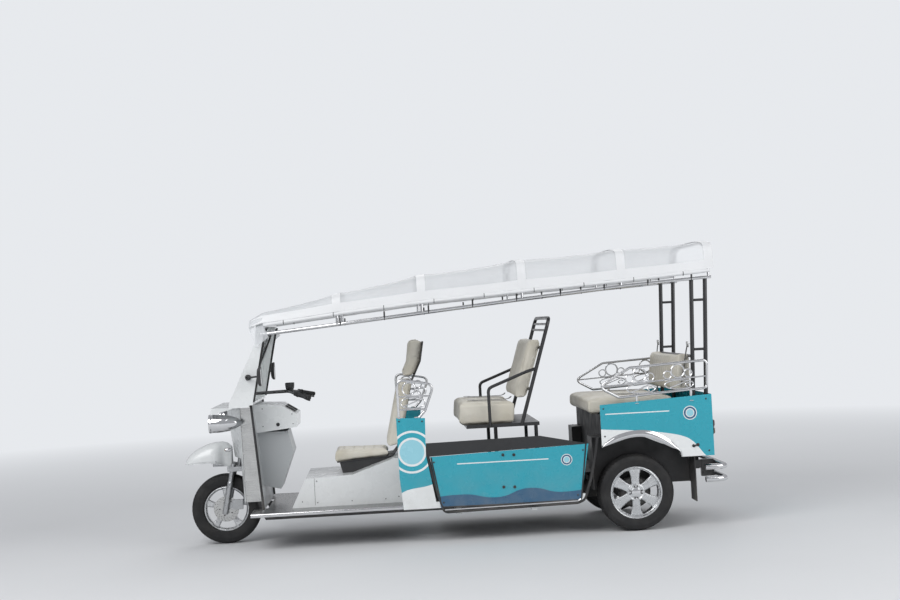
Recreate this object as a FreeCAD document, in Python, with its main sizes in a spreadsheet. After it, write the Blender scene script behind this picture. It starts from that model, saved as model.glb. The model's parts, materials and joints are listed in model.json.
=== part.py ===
import FreeCAD, Part
import math
import os
import Sketcher

# Three wheeled open sided passenger rickshaw.
# The front points to -X, the driver's left is -Y, and the ground is at height 0.
# Heights and stations are in millimetres. The origin lies on the ground, midway along and across.

doc = FreeCAD.newDocument("AutoRickshaw")
sheet = doc.addObject("Spreadsheet::Sheet", "Sizes")
Vector = FreeCAD.Vector


class Size:
    """A length with the sheet formula that gives it."""

    def __init__(self, value, text):
        self.value = float(value)
        self.text = text

    def __float__(self):
        return self.value

    def __neg__(self):
        return Size(-self.value, "-(" + self.text + ")")

    def __add__(self, other):
        return Size(self.value + float(other), "(" + self.text + " + " + formula(other) + ")")

    def __radd__(self, other):
        return Size(float(other) + self.value, "(" + formula(other) + " + " + self.text + ")")

    def __sub__(self, other):
        return Size(self.value - float(other), "(" + self.text + " - " + formula(other) + ")")

    def __rsub__(self, other):
        return Size(float(other) - self.value, "(" + formula(other) + " - " + self.text + ")")

    def __mul__(self, other):
        return Size(self.value * float(other), "(" + self.text + " * " + formula(other) + ")")

    def __rmul__(self, other):
        return Size(float(other) * self.value, "(" + formula(other) + " * " + self.text + ")")

    def __truediv__(self, other):
        return Size(self.value / float(other), "(" + self.text + " / " + formula(other) + ")")


def formula(size):
    if isinstance(size, Size):
        return size.text
    return "(%.6f)" % float(size)


sizes = {
    # Main stations and heights
    "wheelbase": 3114,
    "front_reach": 300,
    "rear_reach": 708,
    "body_half_width": 700,
    "sheet_metal": 3,
    "soft_gap": 0.3,
    "running_gap": 0.05,
    # Front wheel and fork
    "front_tyre_radius": 270,
    "front_tyre_half_width": 65,
    "front_rim_radius": 172,
    "front_rim_half_width": 52,
    "front_axle_radius": 10,
    "brake_disc_outer_face": 62,
    "brake_disc_inner_face": 58,
    "brake_disc_clearance": 5.5,
    "tyre_shoulder_drop": 30,
    "tyre_shoulder_run": 20,
    "fork_rake_degrees": 12,
    "fork_lead": 41,
    "fork_leg_spacing": 96,
    "fork_leg_radius": 20,
    "fork_clamp_height": 562,
    "fork_clamp_thickness": 36,
    "stem_radius": 20,
    "handlebar_rise": 78,
    "front_guard_half_width": 122,
    # Roof tubes
    "roof_rail_half": 646,
    "hoop_radius": 12,
    # Rear wheels and axle
    "rear_tyre_radius": 285,
    "rear_tyre_half_width": 82,
    "rear_rim_radius": 190,
    "rear_rim_half_width": 70,
    "rear_track_half": 576,
    "rear_stub_radius": 17,
    "axle_tube_radius": 38,
    # Front bodywork
    "nose_half_width": 300,
    "nose_top_height": 1072,
    "visor_front_setforward": 40,
    "visor_drop": 44,
    "visor_half_width": 446,
    "nose_low_height": 340,
    "beak_reach_top": 30,
    "beak_reach_low": 122,
    "corner_station_top": 165,
    "corner_station_low": 172,
    "shield_station_top": 262,
    "shield_station_low": 320,
    "shield_half_width": 520,
    "shield_head_rise": 16,
    "shield_thickness": 4,
    "fork_arch_half_width": 236,
    "fork_arch_height": 668,
    "front_floor_top": 286,
    # Cabin levels
    "frame_bottom": 196,
    "frame_depth": 60,
    "frame_half_spacing": 300,
    "frame_tube_width": 40,
    "frame_rear_rise": 210,
    "battery_reach": 954,
    "floor_sheet": 4,
    "running_board_half_width": 650,
    "plinth_half_width": 400,
    "column_front_station": 1350,
    "column_rear_station": 1600,
    "side_panel_rear_setback": 350,
    "side_panel_top": 665,
    "band_top": 750,
    "side_panel_bottom": 262,
    "rear_body_front_setback": 250,
    "bumper_standoff": 118,
    "rear_body_top_front": 955,
    "rear_body_top_rear": 994,
    "rear_body_bottom": 538,
    "housing_front_setback": 325,
    "housing_rear_station": 440,
    "housing_clearance": 24,
    "housing_top": 720,
    "dash_half_width": 250,
    "dash_drop": 214,
    "knee_half_width": 190,
    # Windscreen
    "pillar_outer_half": 566,
    "pillar_thickness": 30,
    "cowl_rise": 34,
    "header_bottom": 1664,
    "header_top": 1700,
    "glass_thickness": 6,
    # Lamps and mirrors
    "headlamp_spacing": 372,
    "headlamp_radius": 69,
    "headlamp_drop": 119,
    # Floors, plinth and driver's seat
    "driver_seat_half_width": 230,
    # Bright tube rails
    "rail_tube_radius": 10,
    "thin_tube_radius": 6,
    "ring_tube_radius": 5,
    "weld_depth": 2,
    # Middle seat
    "middle_seat_half_width": 480,
    "seat_tube_radius": 14,
    "seat_back_slope": 0.32,
    # Rear body
    "rear_box_top": 880,
    "rear_post_radius": 16,
    "rear_post_lean": 0.0366,
    # Roof
    "canopy_thickness": 3,
    "curtain_roll_radius": 15,
    "canopy_half_width": 684,
    "canopy_front_half_width": 604,
}
for row, (alias, value) in enumerate(sizes.items(), 1):
    sheet.set("A%d" % row, alias)
    sheet.set("B%d" % row, "%g" % value)
    sheet.setAlias("B%d" % row, alias)


def given(alias):
    """One driving size, by its name in the sheet."""
    return Size(sizes[alias], "Sizes." + alias)


def bind(item, path, size):
    """Tie one property of an object to a size."""
    item.setExpression(path, formula(size))


def place(item, x=0, y=0, z=0):
    bind(item, "Placement.Base.x", x)
    bind(item, "Placement.Base.y", y)
    bind(item, "Placement.Base.z", z)
    return item


def make(kind, name):
    return doc.addObject(kind, name)


def block(name, low, high):
    """A box between two corners, each corner given as three sizes."""
    box = make("Part::Box", name)
    bind(box, "Length", high[0] - low[0])
    bind(box, "Width", high[1] - low[1])
    bind(box, "Height", high[2] - low[2])
    return place(box, low[0], low[1], low[2])


def plane_of(body, role):
    return [item for item in body.Origin.OriginFeatures if item.Role == role][0]


def draw(body, name, role, corners, shift=0):
    """A closed outline of straight lines whose corners are tied to sizes."""
    sketch = body.newObject("Sketcher::SketchObject", name)
    sketch.AttachmentSupport = [(plane_of(body, role), "")]
    sketch.MapMode = "FlatFace"
    bind(sketch, "AttachmentOffset.Base.z", shift)
    count = len(corners)
    spots = [Vector(float(u), float(v), 0) for u, v in corners]
    for index in range(count):
        sketch.addGeometry(Part.LineSegment(spots[index], spots[(index + 1) % count]), False)
    for index in range(count):
        sketch.addConstraint(Sketcher.Constraint("Coincident", index, 2, (index + 1) % count, 1))
    for index, (u, v) in enumerate(corners):
        across = sketch.addConstraint(Sketcher.Constraint("DistanceX", -1, 1, index, 1, float(u)))
        sketch.setExpression("Constraints[%d]" % across, formula(u))
        upward = sketch.addConstraint(Sketcher.Constraint("DistanceY", -1, 1, index, 1, float(v)))
        sketch.setExpression("Constraints[%d]" % upward, formula(v))
    return sketch


def slab(name, role, corners, near, far):
    """A plate: an outline on one plane, padded between two stations along that plane's normal.

    On the side plane (XZ) stations run along +Y, on the front plane (YZ) along +X,
    on the top plane (XY) along +Z.
    """
    body = make("PartDesign::Body", name)
    sketch = draw(body, name + "_outline", role, corners)
    pad = body.newObject("PartDesign::Pad", name + "_pad")
    pad.Profile = sketch
    sketch.Visibility = False
    bind(pad, "Length", far - near)
    if role == "XZ_Plane":
        pad.Reversed = True
        place(body, 0, near, 0)
    elif role == "YZ_Plane":
        place(body, near, 0, 0)
    else:
        place(body, 0, 0, near)
    body.Tip = pad
    return body


def side_slab(name, corners, near, far):
    return slab(name, "XZ_Plane", corners, near, far)


def front_slab(name, corners, near, far):
    return slab(name, "YZ_Plane", corners, near, far)


def top_slab(name, corners, near, far):
    return slab(name, "XY_Plane", corners, near, far)


def mirrored(item, name):
    """The same piece on the other side of the vehicle."""
    twin = make("Part::Mirroring", name)
    twin.Source = item
    twin.Normal = Vector(0, 1, 0)
    twin.Base = Vector(0, 0, 0)
    return twin


def pair(item):
    return [item, mirrored(item, item.Name + "_twin")]


def cut(name, base, tool):
    item = make("Part::Cut", name)
    item.Base = base
    item.Tool = tool
    return item


def joined(name, items):
    item = make("Part::MultiFuse", name)
    item.Shapes = items
    return item


finished = []


def sub_part(label, items):
    """Gather the solids of one node under its own label."""
    if len(items) == 1 and items[0].TypeId != "Part::Mirroring":
        node = items[0]
    else:
        node = make("Part::Compound", label)
        node.Links = items
    node.Label = label
    finished.append(node)
    return node


def shaped(name, shape):
    """A piece whose form comes from sizes read in the code."""
    item = make("Part::Feature", name)
    item.Shape = shape
    return item


bend_step = math.radians(32)


def side_of(along):
    """A fixed direction square to a tube's run."""
    across = Vector(0, 1, 0)
    if abs(along.dot(across)) > 0.9:
        across = Vector(0, 0, 1)
    return along.cross(across).normalize()


def eased(points, bend):
    """The path with each corner taken round its bend in short chords."""
    spots = [Vector(*[float(v) for v in point]) for point in points]
    path = [spots[0]]
    for index in range(1, len(spots) - 1):
        here = spots[index]
        before = (spots[index - 1] - here).normalize()
        after = (spots[index + 1] - here).normalize()
        turn = math.pi - before.getAngle(after)
        steps = int(math.ceil(turn / bend_step))
        if steps < 2:
            path.append(here)
            continue
        shortest = min((spots[index - 1] - here).Length, (spots[index + 1] - here).Length)
        setback = min(float(bend) * math.tan(turn / 2), 0.49 * shortest)
        radius = setback / math.tan(turn / 2)
        centre = here + (before + after).normalize() * (radius / math.cos(turn / 2))
        axle = before.cross(after).normalize()
        arm = here + before * setback - centre
        for step in range(steps + 1):
            swing = FreeCAD.Rotation(axle, -math.degrees(turn) * step / steps)
            path.append(centre + swing.multVec(arm))
    path.append(spots[-1])
    return path


def solid_bend(points, radius, bend):
    """One bent bar with flat sides, fewer on a thin one, mitred where its path turns."""
    sides = 12 if float(radius) > 8 else 8
    path = eased(points, bend)
    along = (path[1] - path[0]).normalize()
    side = side_of(along)
    over = along.cross(side)
    ring = []
    for index in range(sides):
        angle = 2 * math.pi * index / sides
        ring.append(path[0] + (side * math.cos(angle) + over * math.sin(angle)) * float(radius))
    faces = [Part.Face(Part.makePolygon(ring + [ring[0]]))]
    for index in range(1, len(path)):
        along = (path[index] - path[index - 1]).normalize()
        normal = along
        if index < len(path) - 1:
            normal = (along + (path[index + 1] - path[index]).normalize()).normalize()
        ahead = []
        for corner in ring:
            reach = (path[index] - corner).dot(normal) / along.dot(normal)
            ahead.append(corner + along * reach)
        for number in range(sides):
            other = (number + 1) % sides
            loop = [ring[number], ring[other], ahead[other], ahead[number], ring[number]]
            faces.append(Part.Face(Part.makePolygon(loop)))
        ring = ahead
    faces.append(Part.Face(Part.makePolygon(ring + [ring[0]])))
    solid = Part.makeSolid(Part.makeShell(faces))
    if solid.Volume < 0:
        solid.reverse()
    return solid


def solid_rod(start, finish, radius):
    """One straight bar."""
    return solid_bend([start, finish], radius, 0)


def post(name, radius, length, base, axis=None):
    """An upright, or turned, cylinder with its sizes tied to the sheet."""
    item = make("Part::Cylinder", name)
    bind(item, "Radius", radius)
    bind(item, "Height", length)
    if axis is not None:
        turn = FreeCAD.Rotation(Vector(0, 0, 1), axis)
        item.Placement = FreeCAD.Placement(Vector(0, 0, 0), turn)
    return place(item, base[0], base[1], base[2])


# Main stations and heights
wheelbase = given("wheelbase")
front_reach = given("front_reach")
rear_reach = given("rear_reach")
front_axle = front_reach - (front_reach + wheelbase + rear_reach) / 2
rear_axle = front_axle + wheelbase
body_half = given("body_half_width")
sheet_metal = given("sheet_metal")
touch = given("soft_gap")
running_gap = given("running_gap")

# Front wheel and fork
front_radius = given("front_tyre_radius")
front_tread_half = given("front_tyre_half_width")
front_seat = given("front_rim_radius")
front_rim_half = given("front_rim_half_width")
axle_pin = given("front_axle_radius")
rake = given("fork_rake_degrees")
fork_lead = given("fork_lead")
leg_half = given("fork_leg_spacing")
leg_radius = given("fork_leg_radius")
clamp_low = given("fork_clamp_height")
clamp_thick = given("fork_clamp_thickness")
stem_radius = given("stem_radius")

guard_half = given("front_guard_half_width")

# Roof tubes
roof_half = given("roof_rail_half")
hoop_radius = given("hoop_radius")

# Rear wheels and axle
rear_radius = given("rear_tyre_radius")
rear_tread_half = given("rear_tyre_half_width")
rear_seat_radius = given("rear_rim_radius")
rear_rim_half = given("rear_rim_half_width")
rear_track_half = given("rear_track_half")
stub_radius = given("rear_stub_radius")
axle_tube = given("axle_tube_radius")

# Front bodywork
nose_half = given("nose_half_width")
nose_top = given("nose_top_height")
bar_height = nose_top + given("handlebar_rise")
nose_low = given("nose_low_height")
visor_forward = given("visor_front_setforward")
visor_drop = given("visor_drop")
visor_half = given("visor_half_width")
beak_top = given("beak_reach_top")
beak_low = given("beak_reach_low")
corner_top = given("corner_station_top")
corner_low = given("corner_station_low")
shield_top = given("shield_station_top")
shield_low = given("shield_station_low")
shield_half = given("shield_half_width")
shield_head = nose_top + given("shield_head_rise")
shield_thick = given("shield_thickness")
arch_half = given("fork_arch_half_width")
arch_top = given("fork_arch_height")


class Slant:
    """A straight line in the side view between a low point and a high point."""

    def __init__(self, low_x, low_z, high_x, high_z):
        self.low_x = low_x
        self.low_z = low_z
        self.high_x = high_x
        self.high_z = high_z

    def at(self, height):
        rise = (height - self.low_z) / (self.high_z - self.low_z)
        return self.low_x + (self.high_x - self.low_x) * rise


front_floor_top = given("front_floor_top")
shield_foot = front_floor_top
shield_front = Slant(front_axle + shield_low, shield_foot, front_axle + shield_top, shield_head)
beak = Slant(front_axle + beak_low, nose_low, front_axle + beak_top, nose_top)
corner = Slant(front_axle + corner_low, nose_low, front_axle + corner_top, nose_top)


def shield_back(height):
    return shield_front.at(height) + shield_thick


# Cabin levels
frame_bottom = given("frame_bottom")
frame_depth = given("frame_depth")
frame_half = given("frame_half_spacing")
frame_width = given("frame_tube_width")
frame_rise = given("frame_rear_rise")
floor_sheet = given("floor_sheet")
board_half = given("running_board_half_width")
cab_floor_top = frame_bottom + frame_depth + frame_rise + floor_sheet
plinth_half = given("plinth_half_width")
column_front = given("column_front_station")
column_rear = given("column_rear_station")
panel_rear = given("side_panel_rear_setback")
panel_top = given("side_panel_top")
band_top = given("band_top")
panel_bottom = given("side_panel_bottom")
quarter_front = given("rear_body_front_setback")
battery_reach = given("battery_reach")
quarter_rear = rear_reach - given("bumper_standoff")
quarter_top_front = given("rear_body_top_front")
quarter_top_rear = given("rear_body_top_rear")
quarter_bottom = given("rear_body_bottom")
housing_front = given("housing_front_setback")
housing_rear = given("housing_rear_station")
housing_in = rear_track_half - rear_tread_half - given("housing_clearance")
housing_top = given("housing_top")


# Frame and running gear held by the body
def frame_side_profile():
    low = frame_bottom
    high = frame_bottom + frame_depth
    kink = rear_axle - 520
    top_kink = rear_axle - 340
    back = rear_axle + quarter_rear - 20
    front = front_axle + 345
    return [
        (front, low), (kink, low), (top_kink, low + frame_rise), (back, low + frame_rise),
        (back, high + frame_rise), (top_kink - 20, high + frame_rise), (kink - 20, high), (front, high),
    ]


def chassis_frame():
    rail = side_slab("frame_rail", frame_side_profile(), frame_half - frame_width, frame_half)
    pieces = pair(rail)
    inner = frame_half - frame_width
    for name, station, level in (
        ("cross_front", front_axle + 345, 0),
        ("cross_seat", front_axle + column_front - 60, 0),
        ("cross_cabin", rear_axle - battery_reach - 60, 0),
        ("cross_axle", rear_axle - 300, 1),
        ("cross_tail", rear_axle + quarter_rear - 60, 1),
    ):
        low = frame_bottom + frame_rise * level
        pieces.append(block(
            name,
            (station, -inner, low),
            (station + 40, inner, low + frame_depth),
        ))
    return pieces


def steering_axis_x(height):
    return front_axle + fork_lead + (height - front_radius) * math.tan(math.radians(float(rake)))


def head_tube():
    low = Vector(float(steering_axis_x(arch_top + 8)), 0, float(arch_top) + 8)
    high = Vector(float(steering_axis_x(arch_top + 240)), 0, float(arch_top) + 240)
    outer = Part.makeCylinder(float(stem_radius) + 9, (high - low).Length, low, high - low)
    bore = Part.makeCylinder(float(stem_radius + running_gap), (high - low).Length + 20,
                             low - (high - low).normalize() * 10, high - low)
    return outer, bore


def neck():
    """Head tube, its spine and the yoke that carries it from the frame rails."""
    outer, bore = head_tube()
    top = float(arch_top)
    spine_front = float(front_axle) + 262
    spine = Part.makeBox(60, 60, 440, Vector(spine_front - 60, -30, top - 200))
    web_low = float(steering_axis_x(arch_top + 60))
    web = Part.makeBox(spine_front - 30 - web_low, 16, 150, Vector(web_low, -8, top + 40))
    yoke_half = float(nose_half - sheet_metal) - 1
    bar = Part.makeBox(40, 2 * yoke_half, 50, Vector(spine_front - 40, -yoke_half, top - 210))
    solid = outer.fuse(spine).fuse(web).fuse(bar)
    foot_x = float(front_axle) + 345
    low = float(frame_bottom)
    foot_z = float(shield_foot)
    shield_foot_x = float(shield_front.at(shield_foot))
    for side in (-1, 1):
        y = side * (yoke_half - 20)
        line = [
            (spine_front - 40, top - 180), (spine_front, top - 180), (shield_foot_x - 5, foot_z + 4),
            (shield_foot_x - 2, foot_z - 8), (foot_x + 15, low + 60), (foot_x + 15, low),
            (foot_x - 25, low), (shield_foot_x - 38, foot_z - 16),
        ]
        spots = [Vector(u, y - 20, v) for u, v in line]
        leg = Part.Face(Part.makePolygon(spots + [spots[0]])).extrude(Vector(0, 40, 0))
        solid = solid.fuse(leg)
    return shaped("neck", solid.cut(bore).removeSplitter())


def battery_pack():
    """The drive battery, a plain block between the frame rails under the cabin floor."""
    half = frame_half - frame_width
    front = rear_axle - battery_reach
    low = frame_bottom + 8
    return [block("battery_pack", (front, -half, low), (front + 500, half, cab_floor_top - floor_sheet - 6))]


def rear_axle_set():
    """Axle tube with its gear case, the two hub stubs and the two leaf springs."""
    tube_half = float(rear_track_half - rear_tread_half) - 24
    centre = Vector(float(rear_axle), 0, float(rear_radius))
    across = Vector(0, 1, 0)
    solid = Part.makeCylinder(float(axle_tube), 2 * tube_half, centre - across * tube_half, across)
    case = Part.makeCylinder(105, 190, centre - across * 95, across)
    motor = Part.makeCylinder(88, 240, centre + Vector(-90, 0, 0), Vector(-1, 0, 0))
    stub_end = float(rear_track_half) + 40
    stubs = Part.makeCylinder(float(stub_radius), 2 * stub_end, centre - across * stub_end, across)
    solid = solid.fuse(case).fuse(motor).fuse(stubs)
    pieces = [shaped("axle_beam", solid.removeSplitter())]
    pieces += pair(leaf_spring())
    return pieces


def leaf_spring():
    """A bowed spring on the axle tube whose ends sit under the frame rail's raised part."""
    y = float(frame_half) + 30
    seat = float(rear_radius + axle_tube)
    eye = float(frame_bottom + frame_rise)
    x = float(rear_axle)
    reach = 330
    depth = 32
    lower = Part.Arc(Vector(x - reach, y, eye - depth), Vector(x, y, seat), Vector(x + reach, y, eye - depth))
    upper = Part.Arc(Vector(x + reach, y, eye), Vector(x, y, seat + depth), Vector(x - reach, y, eye))
    side_a = Part.LineSegment(Vector(x + reach, y, eye - depth), Vector(x + reach, y, eye))
    side_b = Part.LineSegment(Vector(x - reach, y, eye), Vector(x - reach, y, eye - depth))
    face = Part.Face(Part.Wire([lower.toShape(), side_a.toShape(), upper.toShape(), side_b.toShape()]))
    leaf = face.extrude(Vector(0, 60, 0))
    hangers = Part.makeBox(40, 62, 50, Vector(x - reach - 2, y - 30, eye - depth + 6))
    hangers = hangers.fuse(Part.makeBox(40, 62, 50, Vector(x + reach - 38, y - 30, eye - depth + 6)))
    rail_face = Part.makeBox(2000, float(frame_width) + 40, 400, Vector(x - 1000, y - 30 - float(frame_width) - 40, 0))
    return shaped("leaf_spring", leaf.fuse(hangers).cut(rail_face).removeSplitter())


def nose_plan(inset, height, back):
    """The nose seen from above at one height: a blunt V with straight sides."""
    half = nose_half - inset
    tip = beak.at(height) + inset * 1.3
    edge = corner.at(height) + inset * 0.4
    return [(back, -half), (edge, -half), (tip, -12), (tip, 12), (edge, half), (back, half)]


def nose_loft(name, inset, top, reach):
    """The nose as a ruled solid between its foot and its top."""
    body = make("PartDesign::Body", name)
    foot = draw(body, name + "_foot", "XY_Plane",
                nose_plan(inset, nose_low, shield_front.at(nose_low) + reach), nose_low)
    crown = draw(body, name + "_crown", "XY_Plane",
                 nose_plan(inset, top, shield_front.at(top) + reach), top)
    loft = body.newObject("PartDesign::AdditiveLoft", name + "_loft")
    loft.Profile = foot
    loft.Sections = [crown]
    loft.Ruled = True
    foot.Visibility = False
    crown.Visibility = False
    body.Tip = loft
    return body


def visor():
    """Brow across the nose and over both lamps: a top sheet with a lip in front and at each end."""
    front = front_axle - visor_forward
    back = front_axle + 120
    low = nose_top - visor_drop
    top = block("visor_top", (front, -visor_half, nose_top - sheet_metal), (back, visor_half, nose_top))
    lip = block("visor_lip", (front, -visor_half, low), (front + sheet_metal, visor_half, nose_top))
    end = side_slab("visor_end", [
        (front, low), (front + 20, low), (back, nose_top - 12), (back, nose_top), (front, nose_top),
    ], visor_half - sheet_metal, visor_half)
    return [top, lip] + pair(end)


def nose_shell():
    """Front column: outer form less its hollow, less the arch for the fork and the stem's hole."""
    outer = nose_loft("nose_outer", 0, nose_top, 0)
    hollow = nose_loft("nose_hollow", sheet_metal, nose_top - sheet_metal, 0.01)
    arch = block("nose_arch", (front_axle - 200, -arch_half, nose_low - 60),
                 (front_axle + shield_low + 60, arch_half, arch_top))
    stem_x = steering_axis_x(nose_top)
    stem_hole = post("nose_stem_hole", stem_radius + 12, 60, (stem_x, 0, nose_top - 30))
    shell = joined("nose_visored", [cut("nose_walls", outer, hollow)] + visor())
    shell = cut("nose_arched", shell, arch)
    return [cut("nose_shell", shell, stem_hole)]


def nose_trims():
    """Bright side sheets of the nose, the edge rails of the running boards and the rear arch trims."""
    foot = nose_low - 24
    strip = side_slab("nose_strip", [
        (corner.at(nose_low) + 6, nose_low), (shield_front.at(nose_low), nose_low),
        (shield_front.at(nose_top - 2), nose_top - 2), (corner.at(nose_top - 2), nose_top - 2),
    ], nose_half, nose_half + 2)
    rail = block("board_rail", (front_axle + 240, board_half, front_floor_top - 26),
                 (front_axle + column_front + 40, board_half + 8, front_floor_top + 2))
    pieces = pair(strip) + pair(rail) + pair(arch_trim())
    return pieces


def arch_points(grow):
    """Corners of the wheel opening, grown outwards by the given width."""
    return [
        (rear_axle - quarter_front - grow, 640),
        (rear_axle - 20 - grow * 0.3, 706 + grow),
        (rear_axle + 70 + grow * 0.2, 702 + grow),
        (rear_axle + 325 + grow, 590 + grow * 0.6),
    ]


def arch_trim():
    """Bright strip along the edge of the wheel opening, standing on the rear panel."""
    outer = body_half
    low = quarter_bottom
    near = arch_points(0)
    far = arch_points(44)
    start = rear_axle - quarter_front
    corners = [
        (start, near[0][1]), near[1], near[2], near[3], (near[3][0] + 14, low),
        (far[3][0] + 10, low), far[3], far[2], far[1], (start, near[0][1] + 40),
    ]
    return side_slab("arch_trim", corners, outer, outer + 2)


def leg_shield():
    """Full width sheet behind the nose, narrow at the foot rest and wide under the windscreen."""
    low = shield_foot
    high = shield_head
    plate = side_slab("shield_plate", [
        (shield_front.at(low), low), (shield_back(low), low), (shield_back(high), high), (shield_front.at(high), high),
    ], -shield_half, shield_half)
    knee_top = dash_low
    knee = side_slab("knee_box", [
        (shield_back(446), 446), (front_axle + 440, 416), (front_axle + 548, dash_low - 161),
        (front_axle + 510, knee_top), (shield_back(knee_top), knee_top),
    ], -knee_half, knee_half)
    knee_inner = side_slab("knee_hollow", [
        (shield_back(450), 450), (front_axle + 437, 421), (front_axle + 544, dash_low - 161),
        (front_axle + 506, knee_top), (shield_back(knee_top), knee_top),
    ], sheet_metal - knee_half, knee_half - sheet_metal)
    return [plate, cut("knee_panel", knee, knee_inner)]


dash_half = given("dash_half_width")
dash_low = nose_top - given("dash_drop")
knee_half = given("knee_half_width")


def dash_box():
    """Wedge shaped instrument and glove box on the leg shield, open towards it."""
    top_z = nose_top + 2
    outer = side_slab("dash_outer", [
        (shield_back(dash_low), dash_low), (front_axle + 588, nose_top - 184), (front_axle + 592, nose_top - 85),
        (front_axle + 474, nose_top - 9), (shield_back(top_z), top_z),
    ], -dash_half, dash_half)
    inner = side_slab("dash_hollow", [
        (shield_back(dash_low + 4), dash_low + 4), (front_axle + 585, nose_top - 181), (front_axle + 589, nose_top - 87),
        (front_axle + 473, nose_top - 12), (shield_back(top_z - 3), top_z - 3),
    ], sheet_metal - dash_half, dash_half - sheet_metal)
    return [cut("dash_box", outer, inner)]


# Windscreen
pillar_out = given("pillar_outer_half")
pillar_thick = given("pillar_thickness")
cowl_top = nose_top + given("cowl_rise")
header_low = given("header_bottom")
header_high = given("header_top")
screen_glass = given("glass_thickness")


def windscreen_frame():
    """Cowl, two tapering pillars and the header over the glass."""
    half = pillar_out - pillar_thick
    front = front_axle + 112
    back = front_axle + 290
    cowl = side_slab("cowl", [
        (front, nose_top), (shield_front.at(nose_top), nose_top), (shield_front.at(shield_head), shield_head),
        (back, shield_head), (back, cowl_top), (front, cowl_top),
    ], -pillar_out, pillar_out)
    hole = post("cowl_stem_hole", stem_radius + 16, 120, (steering_axis_x(cowl_top) - 5, 0, nose_top - 30))
    pillar = side_slab("pillar", [
        (front, cowl_top), (back, cowl_top), (front_axle + 402, 1658), (front_axle + 424, header_high),
        (front_axle + 345, header_high), (front_axle + 325, 1544),
    ], half, pillar_out)
    header = side_slab("header", [
        (front_axle + 350, header_low), (front_axle + 412, header_low),
        (front_axle + 424, header_high), (front_axle + 345, header_high),
    ], -half, half)
    return [cut("cowl_open", cowl, hole), header] + pair(pillar)


def windscreen_glass():
    half = pillar_out - pillar_thick
    low = front_axle + 150
    high = front_axle + 372
    return [side_slab("windscreen_glass", [
        (low, cowl_top), (low + screen_glass, cowl_top), (high + screen_glass, header_low), (high, header_low),
    ], -half, half)]


def edge_rubbers():
    """Black rubber along the door side of each pillar and down each edge of the leg shield."""
    back = front_axle + 290
    seal = side_slab("pillar_seal", [
        (back, cowl_top), (back + 12, cowl_top), (front_axle + 414, 1658), (front_axle + 402, 1658),
    ], pillar_out - pillar_thick + 4, pillar_out - 4)
    low = shield_foot
    edge = side_slab("shield_seal", [
        (shield_front.at(low) - 3, low), (shield_back(low) + 3, low),
        (shield_back(nose_top) + 3, nose_top), (shield_front.at(nose_top) - 3, nose_top),
    ], shield_half, shield_half + 8)
    rear = side_slab("panel_seal", [
        (front_axle + column_rear - 36, panel_bottom - 20), (rear_axle - panel_rear - 60, panel_bottom - 20),
        (rear_axle - panel_rear - 60, panel_bottom), (front_axle + column_rear - 36, panel_bottom),
    ], body_half - 20, body_half)
    return pair(seal) + pair(edge) + pair(rear)


# Lamps and mirrors
lamp_half = given("headlamp_spacing")
lamp_radius = given("headlamp_radius")
lamp_height = nose_top - given("headlamp_drop")


def headlamp_shell():
    """Bullet shaped lamp case turned about its own fore and aft axis, open at the front."""
    body = make("PartDesign::Body", "lamp_case")
    wall = sheet_metal
    outline = [
        (-62, lamp_radius), (30, lamp_radius), (122, lamp_radius * 0.72), (192, 0),
        (-40, 0), (-40, lamp_radius - wall), (-62, lamp_radius - wall),
    ]
    sketch = draw(body, "lamp_outline", "XZ_Plane", outline)
    turn = body.newObject("PartDesign::Revolution", "lamp_turn")
    turn.Profile = sketch
    turn.ReferenceAxis = (sketch, ["H_Axis"])
    turn.Angle = 360
    sketch.Visibility = False
    body.Tip = turn
    return place(body, front_axle, lamp_half, lamp_height)


def lamp_bracket():
    """Short arm between the nose's bright side sheet and the lamp case."""
    arm_x = front_axle + 178
    start = (arm_x, nose_half + 2, lamp_height)
    end = (arm_x, lamp_half - 14, lamp_height)
    return shaped("lamp_arm", solid_rod(start, end, 11))


def headlamp_shells():
    arm = lamp_bracket()
    shell = headlamp_shell()
    return pair(joined("headlamp", [shell, arm]))


def headlamp_lenses():
    lens = post("lamp_lens", lamp_radius - sheet_metal, 8,
                (front_axle - 60, lamp_half, lamp_height), Vector(1, 0, 0))
    return pair(lens)


def mirrors():
    """Door mirrors on short arms from the windscreen pillars."""
    base = front_axle + 285
    arm = Part.makeCylinder(7, 74, Vector(float(base) - 20, float(pillar_out), float(cowl_top) + 190), Vector(0, 1, 0))
    drop = Part.makeBox(34, 110, 150, Vector(float(base) - 40, float(pillar_out) + 56, float(cowl_top) + 109))
    return pair(shaped("mirror_case", arm.fuse(drop).removeSplitter()))


# Floors, plinth and driver's seat
def front_floor():
    """Chequer floor and running boards in one sheet on two stringers, notched for the wheel."""
    front = front_axle + 240
    back = front_axle + column_front + 40
    notch = front_axle + 345
    notch_half = nose_half
    plate = top_slab("floor_plate", [
        (front, -board_half), (back, -board_half), (back, board_half), (front, board_half),
        (front, notch_half), (notch, notch_half), (notch, -notch_half), (front, -notch_half),
    ], front_floor_top - floor_sheet, front_floor_top)
    stringer = block("floor_stringer", (front_axle + 400, frame_half - frame_width, frame_bottom + frame_depth),
                     (back, frame_half, front_floor_top - floor_sheet))
    return [plate] + pair(stringer)


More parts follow.
